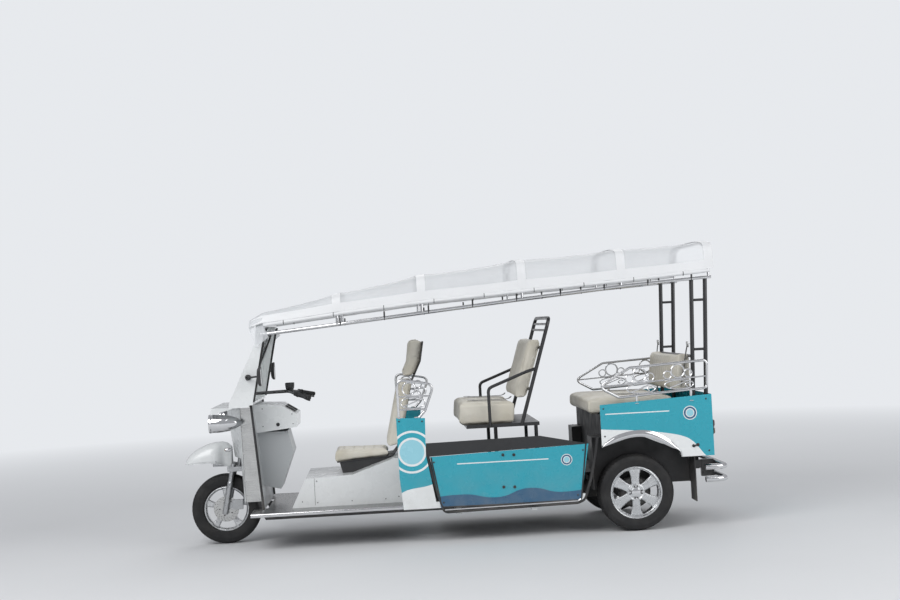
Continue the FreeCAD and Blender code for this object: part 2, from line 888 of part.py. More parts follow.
def seat_plinth():
    """Sheet plinth under the driver's seat whose sides and top follow one stepped line."""
    low = front_floor_top
    rear = front_axle + column_front + 18
    outer = side_slab("plinth_outer", [
        (front_axle + 532, low), (rear, low), (rear, 620), (front_axle + 1318, 620),
        (front_axle + 1000, 515), (front_axle + 641, 503),
    ], -plinth_half, plinth_half)
    wall = sheet_metal
    inner = side_slab("plinth_inner", [
        (front_axle + 532 + wall, low), (rear - wall, low), (rear - wall, 620 - wall),
        (front_axle + 1318, 620 - wall), (front_axle + 1000, 515 - wall), (front_axle + 641 + 2, 503 - wall),
    ], wall - plinth_half, plinth_half - wall)
    return [cut("seat_plinth", outer, inner)]


seat_half = given("driver_seat_half_width")


def driver_seat_shell():
    """Seat pan on two side brackets, and the shell that stands behind the back cushion."""
    pan = side_slab("seat_pan", [
        (front_axle + 880, 593), (front_axle + 1311, 622), (front_axle + 1311, 628), (front_axle + 880, 599),
    ], 12 - seat_half, seat_half - 12)
    bracket = side_slab("pan_bracket", [
        (front_axle + 920, 513), (front_axle + 1000, 515), (front_axle + 1300, 614.08),
        (front_axle + 1300, 621.26), (front_axle + 900, 594.3),
    ], seat_half - 40, seat_half - 20)
    back = side_slab("back_shell", [
        (front_axle + 1311, 628), (front_axle + 1366 + touch, 690), (front_axle + 1480 + touch, 1181),
        (front_axle + 1500 + touch, 1220), (front_axle + 1558 + touch, 1340), (front_axle + 1585.7 + touch, 1490),
        (front_axle + 1592, 1490), (front_axle + 1565, 1339), (front_axle + 1507, 1219),
        (front_axle + 1487, 1180), (front_axle + 1373, 688), (front_axle + 1319, 626), (front_axle + 1311, 618.5),
    ], 60 - seat_half, seat_half - 60)
    return [joined("driver_seat_shell", [pan, back] + pair(bracket))]


def driver_seat_cushion():
    return [side_slab("driver_seat_cushion", [
        (front_axle + 842, 600), (front_axle + 880, 599 + touch), (front_axle + 1305, 627.6 + touch),
        (front_axle + 1290, 672), (front_axle + 850, 680),
    ], -seat_half, seat_half)]


def driver_seat_back():
    """Back cushion with the headrest above it."""
    back = side_slab("back_pad", [
        (front_axle + 1262, 672.6 + touch), (front_axle + 1366, 690), (front_axle + 1480, 1181), (front_axle + 1500, 1220),
        (front_axle + 1400, 1220), (front_axle + 1379, 1181),
    ], -seat_half, seat_half)
    head = side_slab("head_pad", [
        (front_axle + 1402, 1220 + touch), (front_axle + 1500, 1220 + touch), (front_axle + 1558, 1340), (front_axle + 1588, 1503),
        (front_axle + 1482, 1524), (front_axle + 1457, 1340),
    ], 90 - seat_half, seat_half - 90)
    return [joined("driver_seat_back", [back, head])]


# Cabin sides
def front_quarter_panels():
    """Side panel beside the driver's back, with its lower edge swept to the rear."""
    x = front_axle
    skin = side_slab("quarter_skin", [
        (x + 1348, 942), (x + 1562, 931), (x + 1555, 657), (x + 1622, panel_bottom),
        (x + 1372, panel_bottom), (x + 1352, 500),
    ], body_half - sheet_metal, body_half)
    return pair(skin)


def passenger_floor():
    """Raised cabin floor on stringers, the bulkhead behind the driver and the dark side band."""
    front = front_axle + column_rear - 42
    back = rear_axle - quarter_front
    inside = body_half - sheet_metal
    step = rear_axle - housing_front
    floor = top_slab("cabin_floor", [
        (front, -inside), (step, -inside), (step, -housing_in), (back, -housing_in),
        (back, housing_in), (step, housing_in), (step, inside), (front, inside),
    ], cab_floor_top - floor_sheet, cab_floor_top)
    bulkhead = front_slab("bulkhead", [
        (-inside, panel_bottom), (inside, panel_bottom), (inside, 640), (plinth_half, band_top),
        (-plinth_half, band_top), (-inside, 640),
    ], front - sheet_metal, front)
    stringer = block("cabin_stringer", (front, frame_half - 12, frame_bottom + frame_depth),
                     (rear_axle - 545, frame_half, cab_floor_top - floor_sheet))
    band = side_slab("side_band", [
        (front, panel_top - 22), (rear_axle - panel_rear, panel_top + 10),
        (front_axle + 2406, band_top + 3), (front, band_top - 7),
    ], -inside, 8 - inside)
    return [floor, bulkhead, band] + pair(stringer)


def side_panel():
    """Tall infill panel on the driver's left and the low riser under the open kerb side."""
    x = front_axle
    end = rear_axle - panel_rear
    left = side_slab("infill", [
        (x + 1584, 641), (end, panel_top + 10), (end - 74, panel_bottom), (x + 1646, panel_bottom),
    ], -body_half, sheet_metal - body_half)
    right = side_slab("riser", [
        (x + 1610, cab_floor_top), (end - 20, cab_floor_top), (end - 74, panel_bottom), (x + 1646, panel_bottom),
    ], body_half - sheet_metal, body_half)
    return [left, right]


def sills():
    """Box sills under both floor edges."""
    front = front_axle + column_rear - 40
    back = rear_axle - panel_rear - 40
    outer = block("sill_box", (front, body_half - 60, panel_bottom), (back, body_half - sheet_metal, panel_bottom + 46))
    outrigger = block("sill_arm", (front + 200, frame_half, frame_bottom + 10),
                      (front + 240, body_half - 24, panel_bottom))
    second = block("sill_arm_rear", (back - 404, frame_half, frame_bottom + 10),
                   (back - 364, body_half - 24, panel_bottom))
    return pair(joined("sill", [outer, outrigger, second]))


# Bright tube rails
rail_tube = given("rail_tube_radius")
rail_half = body_half - sheet_metal - rail_tube
thin_tube = given("thin_tube_radius")
ring_tube = given("ring_tube_radius")
weld = given("weld_depth")
ring_sides = 16


def solid_ring(x, y, z, radius, tube):
    """A flat bar rolled into a ring that faces sideways."""
    wide = 2 * float(tube)
    thick = float(tube) * 0.6
    faces = []
    for reach in (float(radius) + thick, float(radius) - thick):
        corners = []
        for index in range(ring_sides):
            angle = 2 * math.pi * (index + 0.5) / ring_sides
            corners.append(Vector(float(x) + reach * math.cos(angle), float(y) - wide / 2,
                                  float(z) + reach * math.sin(angle)))
        faces.append(Part.Face(Part.makePolygon(corners + [corners[0]])).extrude(Vector(0, wide, 0)))
    return faces[0].cut(faces[1])


def fused(name, shapes):
    whole = shapes[0]
    if len(shapes) > 1:
        whole = shapes[0].multiFuse(shapes[1:])
    return shaped(name, whole.removeSplitter())


class Bar:
    """A straight bar of a rail, seen from the side, with its own tube radius."""

    def __init__(self, x0, z0, x1, z1, radius):
        self.x0 = x0
        self.z0 = z0
        self.x1 = x1
        self.z1 = z1
        self.radius = float(radius)

    def at(self, x):
        return self.z0 + (self.z1 - self.z0) * (x - self.x0) / (self.x1 - self.x0)

    def rod(self, y):
        return solid_rod((self.x0, y, self.z0), (self.x1, y, self.z1), self.radius)


def ring_between(x, y, lower, upper):
    """A ring welded between two bars, let into each by the weld depth."""
    low = lower.at(x) + lower.radius - float(weld)
    high = upper.at(x) - upper.radius + float(weld)
    tube = float(ring_tube)
    return solid_ring(x, y, (low + high) / 2, (high - low) / 2 - tube * 0.6, tube)


def quarter_rail():
    """Rail on the front quarter panel: a hoop with two cross bars and rings between them."""
    x = float(front_axle)
    y = float(rail_half)
    hoop = solid_bend([(x + 1370, y, 918), (x + 1366, y, 1226), (x + 1640, y, 1176), (x + 1564, y, 984),
                       (x + 1500, y, 918)], rail_tube, 34)
    top = Bar(x + 1366, 1226, x + 1640, 1176, rail_tube)
    middle = Bar(x + 1369, 1096, x + 1606, 1093, thin_tube)
    low = Bar(x + 1370, 1000, x + 1571, 997, thin_tube)
    shapes = [hoop, middle.rod(y), low.rod(y)]
    shapes.append(ring_between(x + 1440, y, middle, top))
    shapes.append(ring_between(x + 1538, y, middle, top))
    shapes.append(ring_between(x + 1432, y, low, middle))
    shapes.append(ring_between(x + 1524, y, low, middle))
    return fused("quarter_rail", shapes)


def rear_rail():
    """Pointed rail on the rear body side with three bars and two rows of rings."""
    x = float(rear_axle)
    y = float(rail_half)
    corners = [(x - 101, 1003), (x - 252, 1088), (x - 10, 1220), (x + 572, 1249), (x + 562, 1042)]
    sill = Bar(corners[0][0], corners[0][1], corners[4][0], corners[4][1], rail_tube)
    low = Bar(x - 40, sill.at(x - 40), x + 510, sill.at(x + 510), rail_tube)
    path = [(low.x0, low.z0)] + corners + [(low.x1, low.z1)]
    outer = [solid_bend([(u, y, v) for u, v in path], rail_tube, 24)]
    top = Bar(x - 10, 1220, x + 572, 1249, rail_tube)
    middle = Bar(x - 224, 1090, x + 566, 1130, thin_tube)
    shapes = outer + [low.rod(y), middle.rod(y)]
    for reach in (22, 138, 254, 370, 486):
        shapes.append(ring_between(x + reach, y, middle, top))
    for reach in (-20, 82, 184, 286, 388, 490):
        shapes.append(ring_between(x + reach, y, low, middle))
    for reach in (30, 440):
        shapes.append(solid_rod((x + reach, y, 930), (x + reach, y, low.at(x + reach)), float(rail_tube) - 0.3))
    return fused("rear_rail", shapes)


def side_rails():
    return pair(quarter_rail()) + pair(rear_rail())


# Middle seat
bench_half = given("middle_seat_half_width")
bench_tube = given("seat_tube_radius")
pad_slope = given("seat_back_slope")


def middle_seat_frame():
    """Tray on four legs, arm rests and the hoop behind the back with its two guard bars."""
    x = float(front_axle)
    r = float(bench_tube)
    floor = float(cab_floor_top)
    y = float(bench_half) + 18
    tray = Part.makeBox(553, 2 * y, 26, Vector(x + 1876, -y, 818))
    tray = tray.cut(Part.makeBox(547, 2 * y - 6, 23, Vector(x + 1879, 3 - y, 818)))
    shapes = [tray]
    foot_x = x + 1761 + 522 + 12
    top_x = x + 1761 + 522 + 12 + float(pad_slope) * 776
    shapes.append(solid_bend([(foot_x, -y, 830), (top_x, -y, 1622), (top_x, y, 1622), (foot_x, y, 830)], r, 60))
    for level, thick in ((1090, r - 1), (1400, r - 1), (1530, 9), (1576, 9)):
        bar_x = foot_x + float(pad_slope) * (level - 846)
        shapes.append(solid_rod((bar_x, -y, level), (bar_x, y, level), thick))
    for side in (-1, 1):
        for leg_x in (x + 2100, x + 2408):
            shapes.append(solid_rod((leg_x, side * 420, floor), (leg_x, side * 420, 842), r))
        rest_y = side * (y + 4)
        end_x = foot_x + float(pad_slope) * 400
        shapes.append(solid_bend([(x + 2056, rest_y, 822), (x + 2054, rest_y, 1115), (x + 2352, rest_y, 1227),
                                  (end_x, rest_y, 1246)], r - 2, 40))
    return [fused("bench_tubes", shapes)]


def middle_seat_cushion():
    x = front_axle
    return [side_slab("middle_seat_cushion", [
        (x + 1803, 860), (x + 1830, 844 + touch), (x + 2262, 844 + touch), (x + 2270, 1000), (x + 1815, 1006),
    ], -bench_half, bench_half)]


def middle_seat_back():
    x = front_axle + 1761 + 522 + 12 - bench_tube - touch
    low = 1008
    high = 1485
    rise_low = pad_slope * (low - 846)
    rise_high = pad_slope * (high - 846)
    return [side_slab("middle_seat_back", [
        (x + rise_low - 90, low), (x + rise_low, low), (x + rise_high, high), (x + rise_high - 86, high),
    ], 20 - bench_half, bench_half - 20)]


# Rear body
def rear_body_panels():
    """Both rear quarter skins with the wheel opening, and the tail panel between them."""
    opening = arch_points(0)
    start = rear_axle - quarter_front
    end = rear_axle + quarter_rear
    skin = side_slab("rear_skin", [
        (start, quarter_top_front), (start, 640), opening[1], opening[2], opening[3],
        (opening[3][0] + 14, quarter_bottom), (end, quarter_bottom), (end, quarter_top_rear),
    ], body_half - sheet_metal, body_half)
    inside = body_half - sheet_metal
    tail = block("tail_panel", (end - sheet_metal, -inside, quarter_bottom), (end, inside, quarter_top_rear))
    return pair(skin) + [tail]




def wheel_housings():
    """Sheet boxes over the rear wheels, open outwards and downwards, with the flaps behind."""
    wall = sheet_metal
    low = 330
    inside = body_half - wall
    outer = block("housing_outer", (rear_axle - housing_front, housing_in, low), (rear_axle + housing_rear, inside, housing_top))
    hollow = block("housing_hollow", (rear_axle - housing_front + wall, housing_in + wall, low - 10),
                   (rear_axle + housing_rear - wall, body_half + 20, housing_top - wall))
    box = cut("housing", outer, hollow)
    flap = block("mud_flap", (rear_axle + housing_rear, housing_in + 30, 200),
                 (rear_axle + housing_rear + 6, inside - 6, 560))
    return pair(box) + pair(flap)


box_top = given("rear_box_top")


def rear_seat_box():
    """Front wall and deck under the rear bench."""
    wall = sheet_metal
    front = rear_axle - quarter_front
    end = rear_axle + quarter_rear - wall
    inside = body_half - wall
    riser = front_slab("bench_riser", [
        (-housing_in, cab_floor_top - floor_sheet), (housing_in, cab_floor_top - floor_sheet), (housing_in, housing_top),
        (inside, housing_top), (inside, box_top - wall), (-inside, box_top - wall), (-inside, housing_top),
        (-housing_in, housing_top),
    ], front, front + wall)
    deck = block("bench_deck", (front, -inside, box_top - wall), (end, inside, box_top))
    wall_prop = block("deck_wall", (rear_axle - 330 + 700, frame_half - 12, frame_bottom + frame_rise + frame_depth),
                      (rear_axle + quarter_rear - 40, frame_half, box_top - wall))
    return [riser, deck] + pair(wall_prop)


post_radius = given("rear_post_radius")
post_half = roof_half - hoop_radius - post_radius
post_lean = given("rear_post_lean")


def post_x(height):
    return float(rear_axle) + 469 + (height - 956) * float(post_lean)


def rear_seat_cushion():
    return [side_slab("rear_seat_cushion", [
        (rear_axle - 343, 920), (rear_axle - 330, box_top + touch), (rear_axle + 340, box_top + touch),
        (rear_axle + 340, 992), (rear_axle - 336, 996),
    ], 40 - post_half, post_half - 40)]


def rear_seat_back():
    low = 994
    high = 1313
    back_low = rear_axle + 469 + (low - 956) * post_lean - 12 - touch
    back_high = rear_axle + 469 + (high - 956) * post_lean - 12 - touch
    return [side_slab("rear_seat_back", [
        (back_low - 120, low), (back_low, low), (back_high, high), (back_high - 96, high),
    ], 40 - post_half, post_half - 40)]


# Roof
canopy_cloth = given("canopy_thickness")
roll_radius = given("curtain_roll_radius")
canopy_half = given("canopy_half_width")
canopy_front_half = given("canopy_front_half_width")
roof_stations = (
    # behind the front axle, height of the side rail, underside of the curtain roll, crown
    (950, 1660, 1719, 1893),
    (1582, 1713, 1772, 2006),
    (2334, 1776, 1816, 2083),
    (3080, 1833, 1855, 2125),
    (3742, 1868, 1899, 2152),
)


def roof_section(station, low, crown, half, inset):
    """Section of the canopy at one station, drawn in by the inset."""
    rise = crown - low
    edge = half - inset
    right = [
        (edge, low), (edge - 14, low + rise * 0.62), (edge - 90, crown - rise * 0.12 - inset * 0.5),
        (edge - 280, crown - rise * 0.03 - inset),
    ]
    left = [(-y, z) for y, z in reversed(right)]
    return [Vector(station, y, z) for y, z in right + left]


def closed_wire(points):
    return Part.makePolygon(points + [points[0]])


def canopy_stations():
    x = float(front_axle)
    wide = float(canopy_half)
    roll = 2 * float(roll_radius) + float(touch)
    rows = [(x + 297, 1668, 1727, float(canopy_front_half)), (x + 390, 1694, 1780, float(canopy_front_half) + 16)]
    for reach, rail, hem, crown in roof_stations:
        rows.append((x + reach, hem + roll, crown, wide))
    rows[-1] = (x + 3776, rows[-1][1] + 2, rows[-1][2] + 2, wide)
    return rows


def roof_canopy():
    """One sheet drawn over the hoops, with its front edge over the header and a drop at the rear."""
    outer_rings = []
    inner_rings = []
    cloth = float(canopy_cloth)
    rows = canopy_stations()
    for index, (station, low, crown, half) in enumerate(rows):
        shift = 0
        if index == 0:
            shift = -1
        if index == len(rows) - 1:
            shift = -cloth
        outer_rings.append(closed_wire(roof_section(station, low, crown, half, 0)))
        inner = roof_section(station + shift, low, crown, half, cloth)
        inner[0].z = low - 0.5
        inner[-1].z = low - 0.5
        inner_rings.append(closed_wire(inner))
    outer = Part.makeLoft(outer_rings, True, True)
    inner = Part.makeLoft(inner_rings, True, True)
    return [shaped("roof_canopy_sheet", outer.cut(inner).removeSplitter())]


def roof_frame():
    """Two bright side rails from the windscreen pillars to the rear posts, with hoops between."""
    x = float(front_axle)
    y = float(roof_half)
    r = float(hoop_radius)
    pillar = float(pillar_out) + r
    shapes = []
    for side in (-1, 1):
        points = [(x + 352, side * pillar, 1610), (x + 440, side * pillar, 1617)]
        points += [(x + reach + 45, side * y, rail + 2) for reach, rail, hem, crown in roof_stations]
        points[-1] = (x + 3760, side * y, 1869)
        shapes.append(solid_bend(points, r, 600))
    for row, (reach, rail, hem, crown) in zip(canopy_stations()[2:], roof_stations):
        low = row[1]
        rise = crown - low
        half = row[3]
        shoulder = crown - rise * 0.12 - 30
        top = crown - rise * 0.03 - float(canopy_cloth) - r + 1.5 - float(touch)
        shapes.append(solid_bend([
            (x + reach, -y, rail), (x + reach, -y, low + rise * 0.45), (x + reach, 104 - half, shoulder),
            (x + reach, 284 - half, top), (x + reach, half - 284, top), (x + reach, half - 104, shoulder),
            (x + reach, y, low + rise * 0.45), (x + reach, y, rail),
        ], r - 1.5, 60))
    return [fused("roof_frame_tubes", shapes)]


def curtain_rolls():
    """The side curtains rolled up under the roof's long edges."""
    x = float(front_axle)
    r = float(roll_radius)
    y = float(canopy_half) - float(canopy_cloth) / 2
    front = float(canopy_front_half) + 16 - float(canopy_cloth) / 2
    points = [(x + 400, front, 1694 - r - 0.2)]
    points += [(x + reach, y, hem + r) for reach, rail, hem, crown in roof_stations]
    return pair(shaped("curtain_roll", solid_bend(points, r, 900)))


def rear_posts():
    """Twin posts each side with cross bars behind the bench."""
    shapes = []
    y = float(post_half)
    r = float(post_radius)
    foot = float(box_top)
    for side in (-1, 1):
        shapes.append(solid_rod((post_x(foot - 10), side * y, foot - 10), (post_x(1868), side * y, 1868), r))
        shapes.append(solid_rod((post_x(foot - 10) + 96, side * y, foot - 10), (post_x(1868) + 104, side * y, 1868), r))
        for level in (1330, 1700):
            shapes.append(solid_rod((post_x(level), side * y, level), (post_x(level) + 102, side * y, level), 10))
    for level in (1040, 1280):
        shapes.append(solid_rod((post_x(level), -y, level), (post_x(level), y, level), 12))
    whole = shapes[0].multiFuse(shapes[1:])
    below = Part.makeBox(600, 2000, 100, Vector(post_x(foot) - 200, -1000, foot - 100))
    return [shaped("rear_posts_tubes", whole.cut(below).removeSplitter())]


def rear_bumper():
    """Two bent tubes round the tail on two brackets from the frame."""
    x = float(rear_axle)
    r = 22
    end = x + float(rear_reach) - r
    shapes = []
    for level in (446, 355):
        shapes.append(solid_bend([
            (end - 158, -640, level), (end, -640, level), (end, 640, level), (end - 158, 640, level),
        ], r, 70))
    back = x + float(quarter_rear) - 20
    for side in (-1, 1):
        y = side * 280
        shapes.append(Part.makeBox(end - back, 40, 130, Vector(back, y - 20, 340)))
    return [fused("bumper_tubes", shapes)]


def tail_lamps():
    x = rear_axle + quarter_rear
    return pair(block("tail_lamp", (x, 540, 690), (x + 30, 660, 800)))


# Steering
def axis_vector():
    angle = math.radians(float(rake))
    return Vector(math.sin(angle), 0, math.cos(angle))


def axis_point(height):
    return Vector(float(steering_axis_x(height)), 0, float(height))


disc_out = given("brake_disc_outer_face")
disc_in = given("brake_disc_inner_face")
disc_gap = given("brake_disc_clearance")


def front_fork():
    """Raked legs, clamp, stem, axle pin, guard bracket and brake caliper."""
    up = axis_vector()
    hub = Vector(float(front_axle), 0, float(front_radius))
    low = float(clamp_low)
    thick = float(clamp_thick)
    leg_length = (low + thick - float(front_radius)) / up.z + 20
    shapes = []
    for side in (-1, 1):
        y = side * float(leg_half)
        start = hub + Vector(0, y, 0) - up * 30
        shapes.append(Part.makeCylinder(float(leg_radius), leg_length + 30, start, up))
    clamp_x = float(steering_axis_x(clamp_low))
    plate = Part.makeBox(112, 2 * float(leg_half) + 52, thick,
                         Vector(clamp_x - 76, -float(leg_half) - 26, low))
    shapes.append(plate)
    pin_half = float(leg_half) + 4
    shapes.append(Part.makeCylinder(float(axle_pin), 2 * pin_half, hub - Vector(0, pin_half, 0), Vector(0, 1, 0)))
    stem_start = axis_point(low + 4)
    stem_end = axis_point(float(bar_height) - 2)
    shapes.append(Part.makeCylinder(float(stem_radius), (stem_end - stem_start).Length, stem_start, up))
    bracket = Part.makeBox(150, 60, 8, Vector(clamp_x - 196, -30, low + thick))
    shapes.append(bracket)
    inner = float(guard_half - sheet_metal)
    wing = Part.makeBox(40, 2 * inner, 24, Vector(clamp_x - 196, -inner, low + thick + 30))
    shapes.append(wing)
    shapes.append(Part.makeBox(40, 50, 26, Vector(clamp_x - 196, -25, low + thick + 6)))
    shapes.append(brake_caliper(hub))
    return [fused("fork_tubes", shapes)]


def brake_caliper(hub):
    """Caliper body on a plate behind the left fork leg, its slot running over the brake disc."""
    out = float(leg_half) - float(leg_radius) + 6
    inner = float(disc_in) - float(disc_gap) - 12
    body = Part.makeBox(82, out - inner, 74, hub + Vector(48, -out, -6))
    slot = Part.makeBox(70, float(disc_out - disc_in) + 2 * float(disc_gap), 90,
                        hub + Vector(46, -float(disc_out + disc_gap), -20))
    plate = Part.makeBox(64, 10, 52, hub + Vector(-8, -out, 4))
    return body.cut(slot).fuse(plate)


def front_mudguard():
    """Car like guard: a side profile crossed with a plan shape, hollow from below."""
    x = float(front_axle)
    wall = float(sheet_metal)
    half = float(guard_half)

    def side_face(grow, drop):
        top = [(-300 + grow, 637), (-262 + grow, 700 - grow * 0.7), (-190 + grow * 0.5, 752 - grow),
               (-110, 782 - grow), (-40, 790 - grow), (4 - grow * 0.3, 787 - grow), (68 - grow * 0.8, 600)]
        low = [(30, 600 - drop), (-90, 618 - drop), (-200, 628 - drop)]
        if drop:
            top[0] = (-300 + grow, 637 - drop)
            top.append((68 - grow * 0.8, 600 - drop))
        return [Vector(x + u, -200, z) for u, z in top + low]

    def plan_face(grow):
        row = [(-301 + grow, 50), (-240 + grow * 0.6, 108 - grow * 0.6), (-150, half - grow), (-50, half - grow),
               (-2, 64 - grow), (70, 60 - grow)]
        spots = [(u, -y) for u, y in row] + [(u, y) for u, y in reversed(row)]
        return [Vector(x + u, y, 500) for u, y in spots]

    outer = Part.Face(closed_wire(side_face(0, 0))).extrude(Vector(0, 400, 0))
    outer = outer.common(Part.Face(closed_wire(plan_face(0))).extrude(Vector(0, 0, 400)))
    inner = Part.Face(closed_wire(side_face(wall, 60))).extrude(Vector(0, 400, 0))
    inner = inner.common(Part.Face(closed_wire(plan_face(wall))).extrude(Vector(0, 0, 400)))
    return [shaped("guard_sheet", outer.cut(inner).removeSplitter())]


def handlebar():
    """Clamp on the stem and pulled back bars with their grips."""
    top = axis_point(float(bar_height))
    z = float(bar_height)
    shapes = [Part.makeBox(40, 76, 36, Vector(top.x - 20, -38, z - 18))]
    for side in (-1, 1):
        points = [(top.x, side * 27, z), (top.x + 300, side * 60, z + 6), (top.x + 370, side * 240, z - 12),
                  (top.x + 470, side * 345, z - 40)]
        shapes.append(solid_bend(points, 11, 60))
        start = Vector(top.x + 380, side * 250.5, z - 14.8)
        finish = Vector(top.x + 470, side * 345, z - 40)
        shapes.append(Part.makeCylinder(17, (finish - start).Length + 6, start, finish - start))
    shapes.append(solid_rod((top.x + 292, -62, z + 5), (top.x + 292, 62, z + 5), 10))
    pod = Part.makeBox(70, 130, 60, Vector(top.x + 270, -65, z + 10))
    shapes.append(pod)
    whole = shapes[0].multiFuse(shapes[1:])
    socket = axis_point(float(bar_height) - 60)
    stem = Part.makeCylinder(float(stem_radius), 58 / axis_vector().z, socket, axis_vector())
    return [shaped("bar_tubes", whole.cut(stem).removeSplitter())]


# Wheels
shoulder_drop = given("tyre_shoulder_drop")
shoulder_run = given("tyre_shoulder_run")


def revolved(name, outline):
    """A ring or disc turned about the wheel's own axle, its outline given as (across, radius)."""
    body = make("PartDesign::Body", name)
    sketch = draw(body, name + "_section", "YZ_Plane", outline)
    turn = body.newObject("PartDesign::Revolution", name + "_turn")
    turn.Profile = sketch
    turn.ReferenceAxis = (sketch, ["H_Axis"])
    turn.Angle = 360
    sketch.Visibility = False
    body.Tip = turn
    return body


def tyre(name, seat, half, radius):
    """Road tyre on the rim's seat: upright walls, sloped shoulders and a level tread."""
    right = [(half, seat), (half, radius - shoulder_drop), (half - shoulder_run, radius)]
    left = [(-u, v) for u, v in reversed(right)]
    return revolved(name, right + left)


def rim(name, seat, rim_half, hub_radius, hub_half, bore, spokes, spoke_width, face, depth):
    """Alloy rim: plain barrel, hub with its running bore, and cast spokes in a circle."""
    barrel = revolved(name + "_barrel", [
        (-rim_half, seat - 8), (rim_half, seat - 8), (rim_half, seat), (-rim_half, seat),
    ])
    spider = revolved(name + "_hub", [
        (-hub_half, bore), (hub_half, bore), (hub_half, hub_radius), (-hub_half, hub_radius),
    ])
    near = hub_radius - 6
    far = seat - 6
    sketch = draw(spider, name + "_spoke_outline", "XZ_Plane", [
        (-spoke_width, near), (spoke_width, near), (spoke_width * 0.75, far), (-spoke_width * 0.75, far),
    ], -face)
    pad = spider.newObject("PartDesign::Pad", name + "_spoke")
    pad.Profile = sketch
    bind(pad, "Length", depth)
    pad.Reversed = True
    sketch.Visibility = False
    doc.recompute()
    pattern = spider.newObject("PartDesign::PolarPattern", name + "_circle")
    pattern.Originals = [pad]
    pattern.Axis = (plane_of(spider, "Y_Axis"), [""])
    pattern.Angle = 360
    pattern.Occurrences = spokes
    spider.Tip = pattern
    return joined(name + "_whole", [barrel, spider])


def front_wheel():
    centre = (front_axle, 0, front_radius)
    wheel = rim("front_rim", front_seat, front_rim_half, 34, 44, axle_pin + running_gap, 5, 17, 8, 16)
    disc = revolved("brake_disc", [(-disc_out, 33), (-disc_in, 33), (-disc_in, 110), (-disc_out, 110)])
    carrier = revolved("disc_carrier", [
        (-disc_out, axle_pin + running_gap), (-40, axle_pin + running_gap), (-40, 34), (-disc_out, 34),
    ])
    whole = joined("front_rim_disc", [wheel, disc, carrier])
    rubber = tyre("front_tyre", front_seat, front_tread_half, front_radius)
    return place(rubber, *centre), place(whole, *centre)


def rear_wheel(side, label):
    """One rear wheel on its stub: side is -1 on the driver's left and 1 on the right."""
    centre = (rear_axle, side * rear_track_half, rear_radius)
    face = side * 34 - 10
    wheel = rim("rear_rim_" + label, rear_seat_radius, rear_rim_half, 62, 38,
                stub_radius + running_gap, 6, 24, face, 20)
    rubber = tyre("rear_tyre_" + label, rear_seat_radius, rear_tread_half, rear_radius)
    return place(rubber, *centre), place(wheel, *centre)


# Nodes
doc.recompute()
for label, builder in (
    ("chassis_frame", lambda: [joined("frame_whole", chassis_frame() + [neck()])]),
    ("battery_pack", battery_pack),
    ("rear_axle_set", rear_axle_set),
    ("nose_shell", nose_shell),
    ("bright_trims", nose_trims),
    ("leg_shield", leg_shield),
    ("dash_box", dash_box),
    ("windscreen_frame", windscreen_frame),
    ("windscreen_glass", windscreen_glass),
    ("edge_rubbers", edge_rubbers),
    ("headlamp_shells", headlamp_shells),
    ("headlamp_lenses", headlamp_lenses),
    ("mirrors", mirrors),
    ("front_floor", front_floor),
    ("seat_plinth", seat_plinth),
    ("driver_seat_shell", driver_seat_shell),
    ("driver_seat_cushion", driver_seat_cushion),
    ("driver_seat_back", driver_seat_back),
    ("front_quarter_panels", front_quarter_panels),
    ("passenger_floor", passenger_floor),
    ("side_panels", side_panel),
    ("sills", sills),
    ("side_rails", side_rails),
    ("middle_seat_frame", middle_seat_frame),
    ("middle_seat_cushion", middle_seat_cushion),
    ("middle_seat_back", middle_seat_back),
    ("rear_body_panels", rear_body_panels),
    ("wheel_housings", wheel_housings),
    ("rear_seat_box", rear_seat_box),
    ("rear_seat_cushion", rear_seat_cushion),
    ("rear_seat_back", rear_seat_back),
    ("roof_frame", roof_frame),
    ("roof_canopy", roof_canopy),
    ("curtain_rolls", curtain_rolls),
    ("rear_posts", rear_posts),
    ("rear_bumper", rear_bumper),
    ("tail_lamps", tail_lamps),
    ("front_fork", front_fork),
    ("front_mudguard", front_mudguard),
    ("handlebar", handlebar),
):
    sub_part(label, builder())

front_rubber, front_alloy = front_wheel()
sub_part("front_tyre", [front_rubber])
sub_part("front_rim", [front_alloy])
for side, label in ((-1, "left"), (1, "right")):
    rubber, alloy = rear_wheel(side, label)
    sub_part("rear_tyre_" + label, [rubber])
    sub_part("rear_rim_" + label, [alloy])

doc.recompute()
for item in doc.Objects:
    if "Invalid" in item.State or "Error" in item.State:
        raise ValueError("faulty object " + item.Name)
os.makedirs("parts", exist_ok=True)
for node in finished:
    shape = node.Shape
    if shape.isNull() or not shape.isValid() or not shape.Solids:
        raise ValueError("faulty shape " + node.Label)
    shape.exportStep("parts/" + node.Label + ".step")
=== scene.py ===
import json
import math

import bmesh
import bpy
import numpy
from mathutils import Matrix, Vector


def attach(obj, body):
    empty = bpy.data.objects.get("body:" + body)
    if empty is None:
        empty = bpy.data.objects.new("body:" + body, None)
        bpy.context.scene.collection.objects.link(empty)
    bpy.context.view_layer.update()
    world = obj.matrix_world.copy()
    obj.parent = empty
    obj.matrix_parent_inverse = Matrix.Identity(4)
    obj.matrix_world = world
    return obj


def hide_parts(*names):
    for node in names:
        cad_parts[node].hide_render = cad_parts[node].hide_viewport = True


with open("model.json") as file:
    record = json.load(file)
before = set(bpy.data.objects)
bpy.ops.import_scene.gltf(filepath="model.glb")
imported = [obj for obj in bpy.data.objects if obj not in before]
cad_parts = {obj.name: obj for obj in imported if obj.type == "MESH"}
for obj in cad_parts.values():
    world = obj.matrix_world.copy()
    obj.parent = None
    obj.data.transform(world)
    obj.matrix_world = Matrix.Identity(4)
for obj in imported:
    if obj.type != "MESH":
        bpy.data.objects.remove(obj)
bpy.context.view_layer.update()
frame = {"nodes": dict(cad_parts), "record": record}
nodes = frame["nodes"]
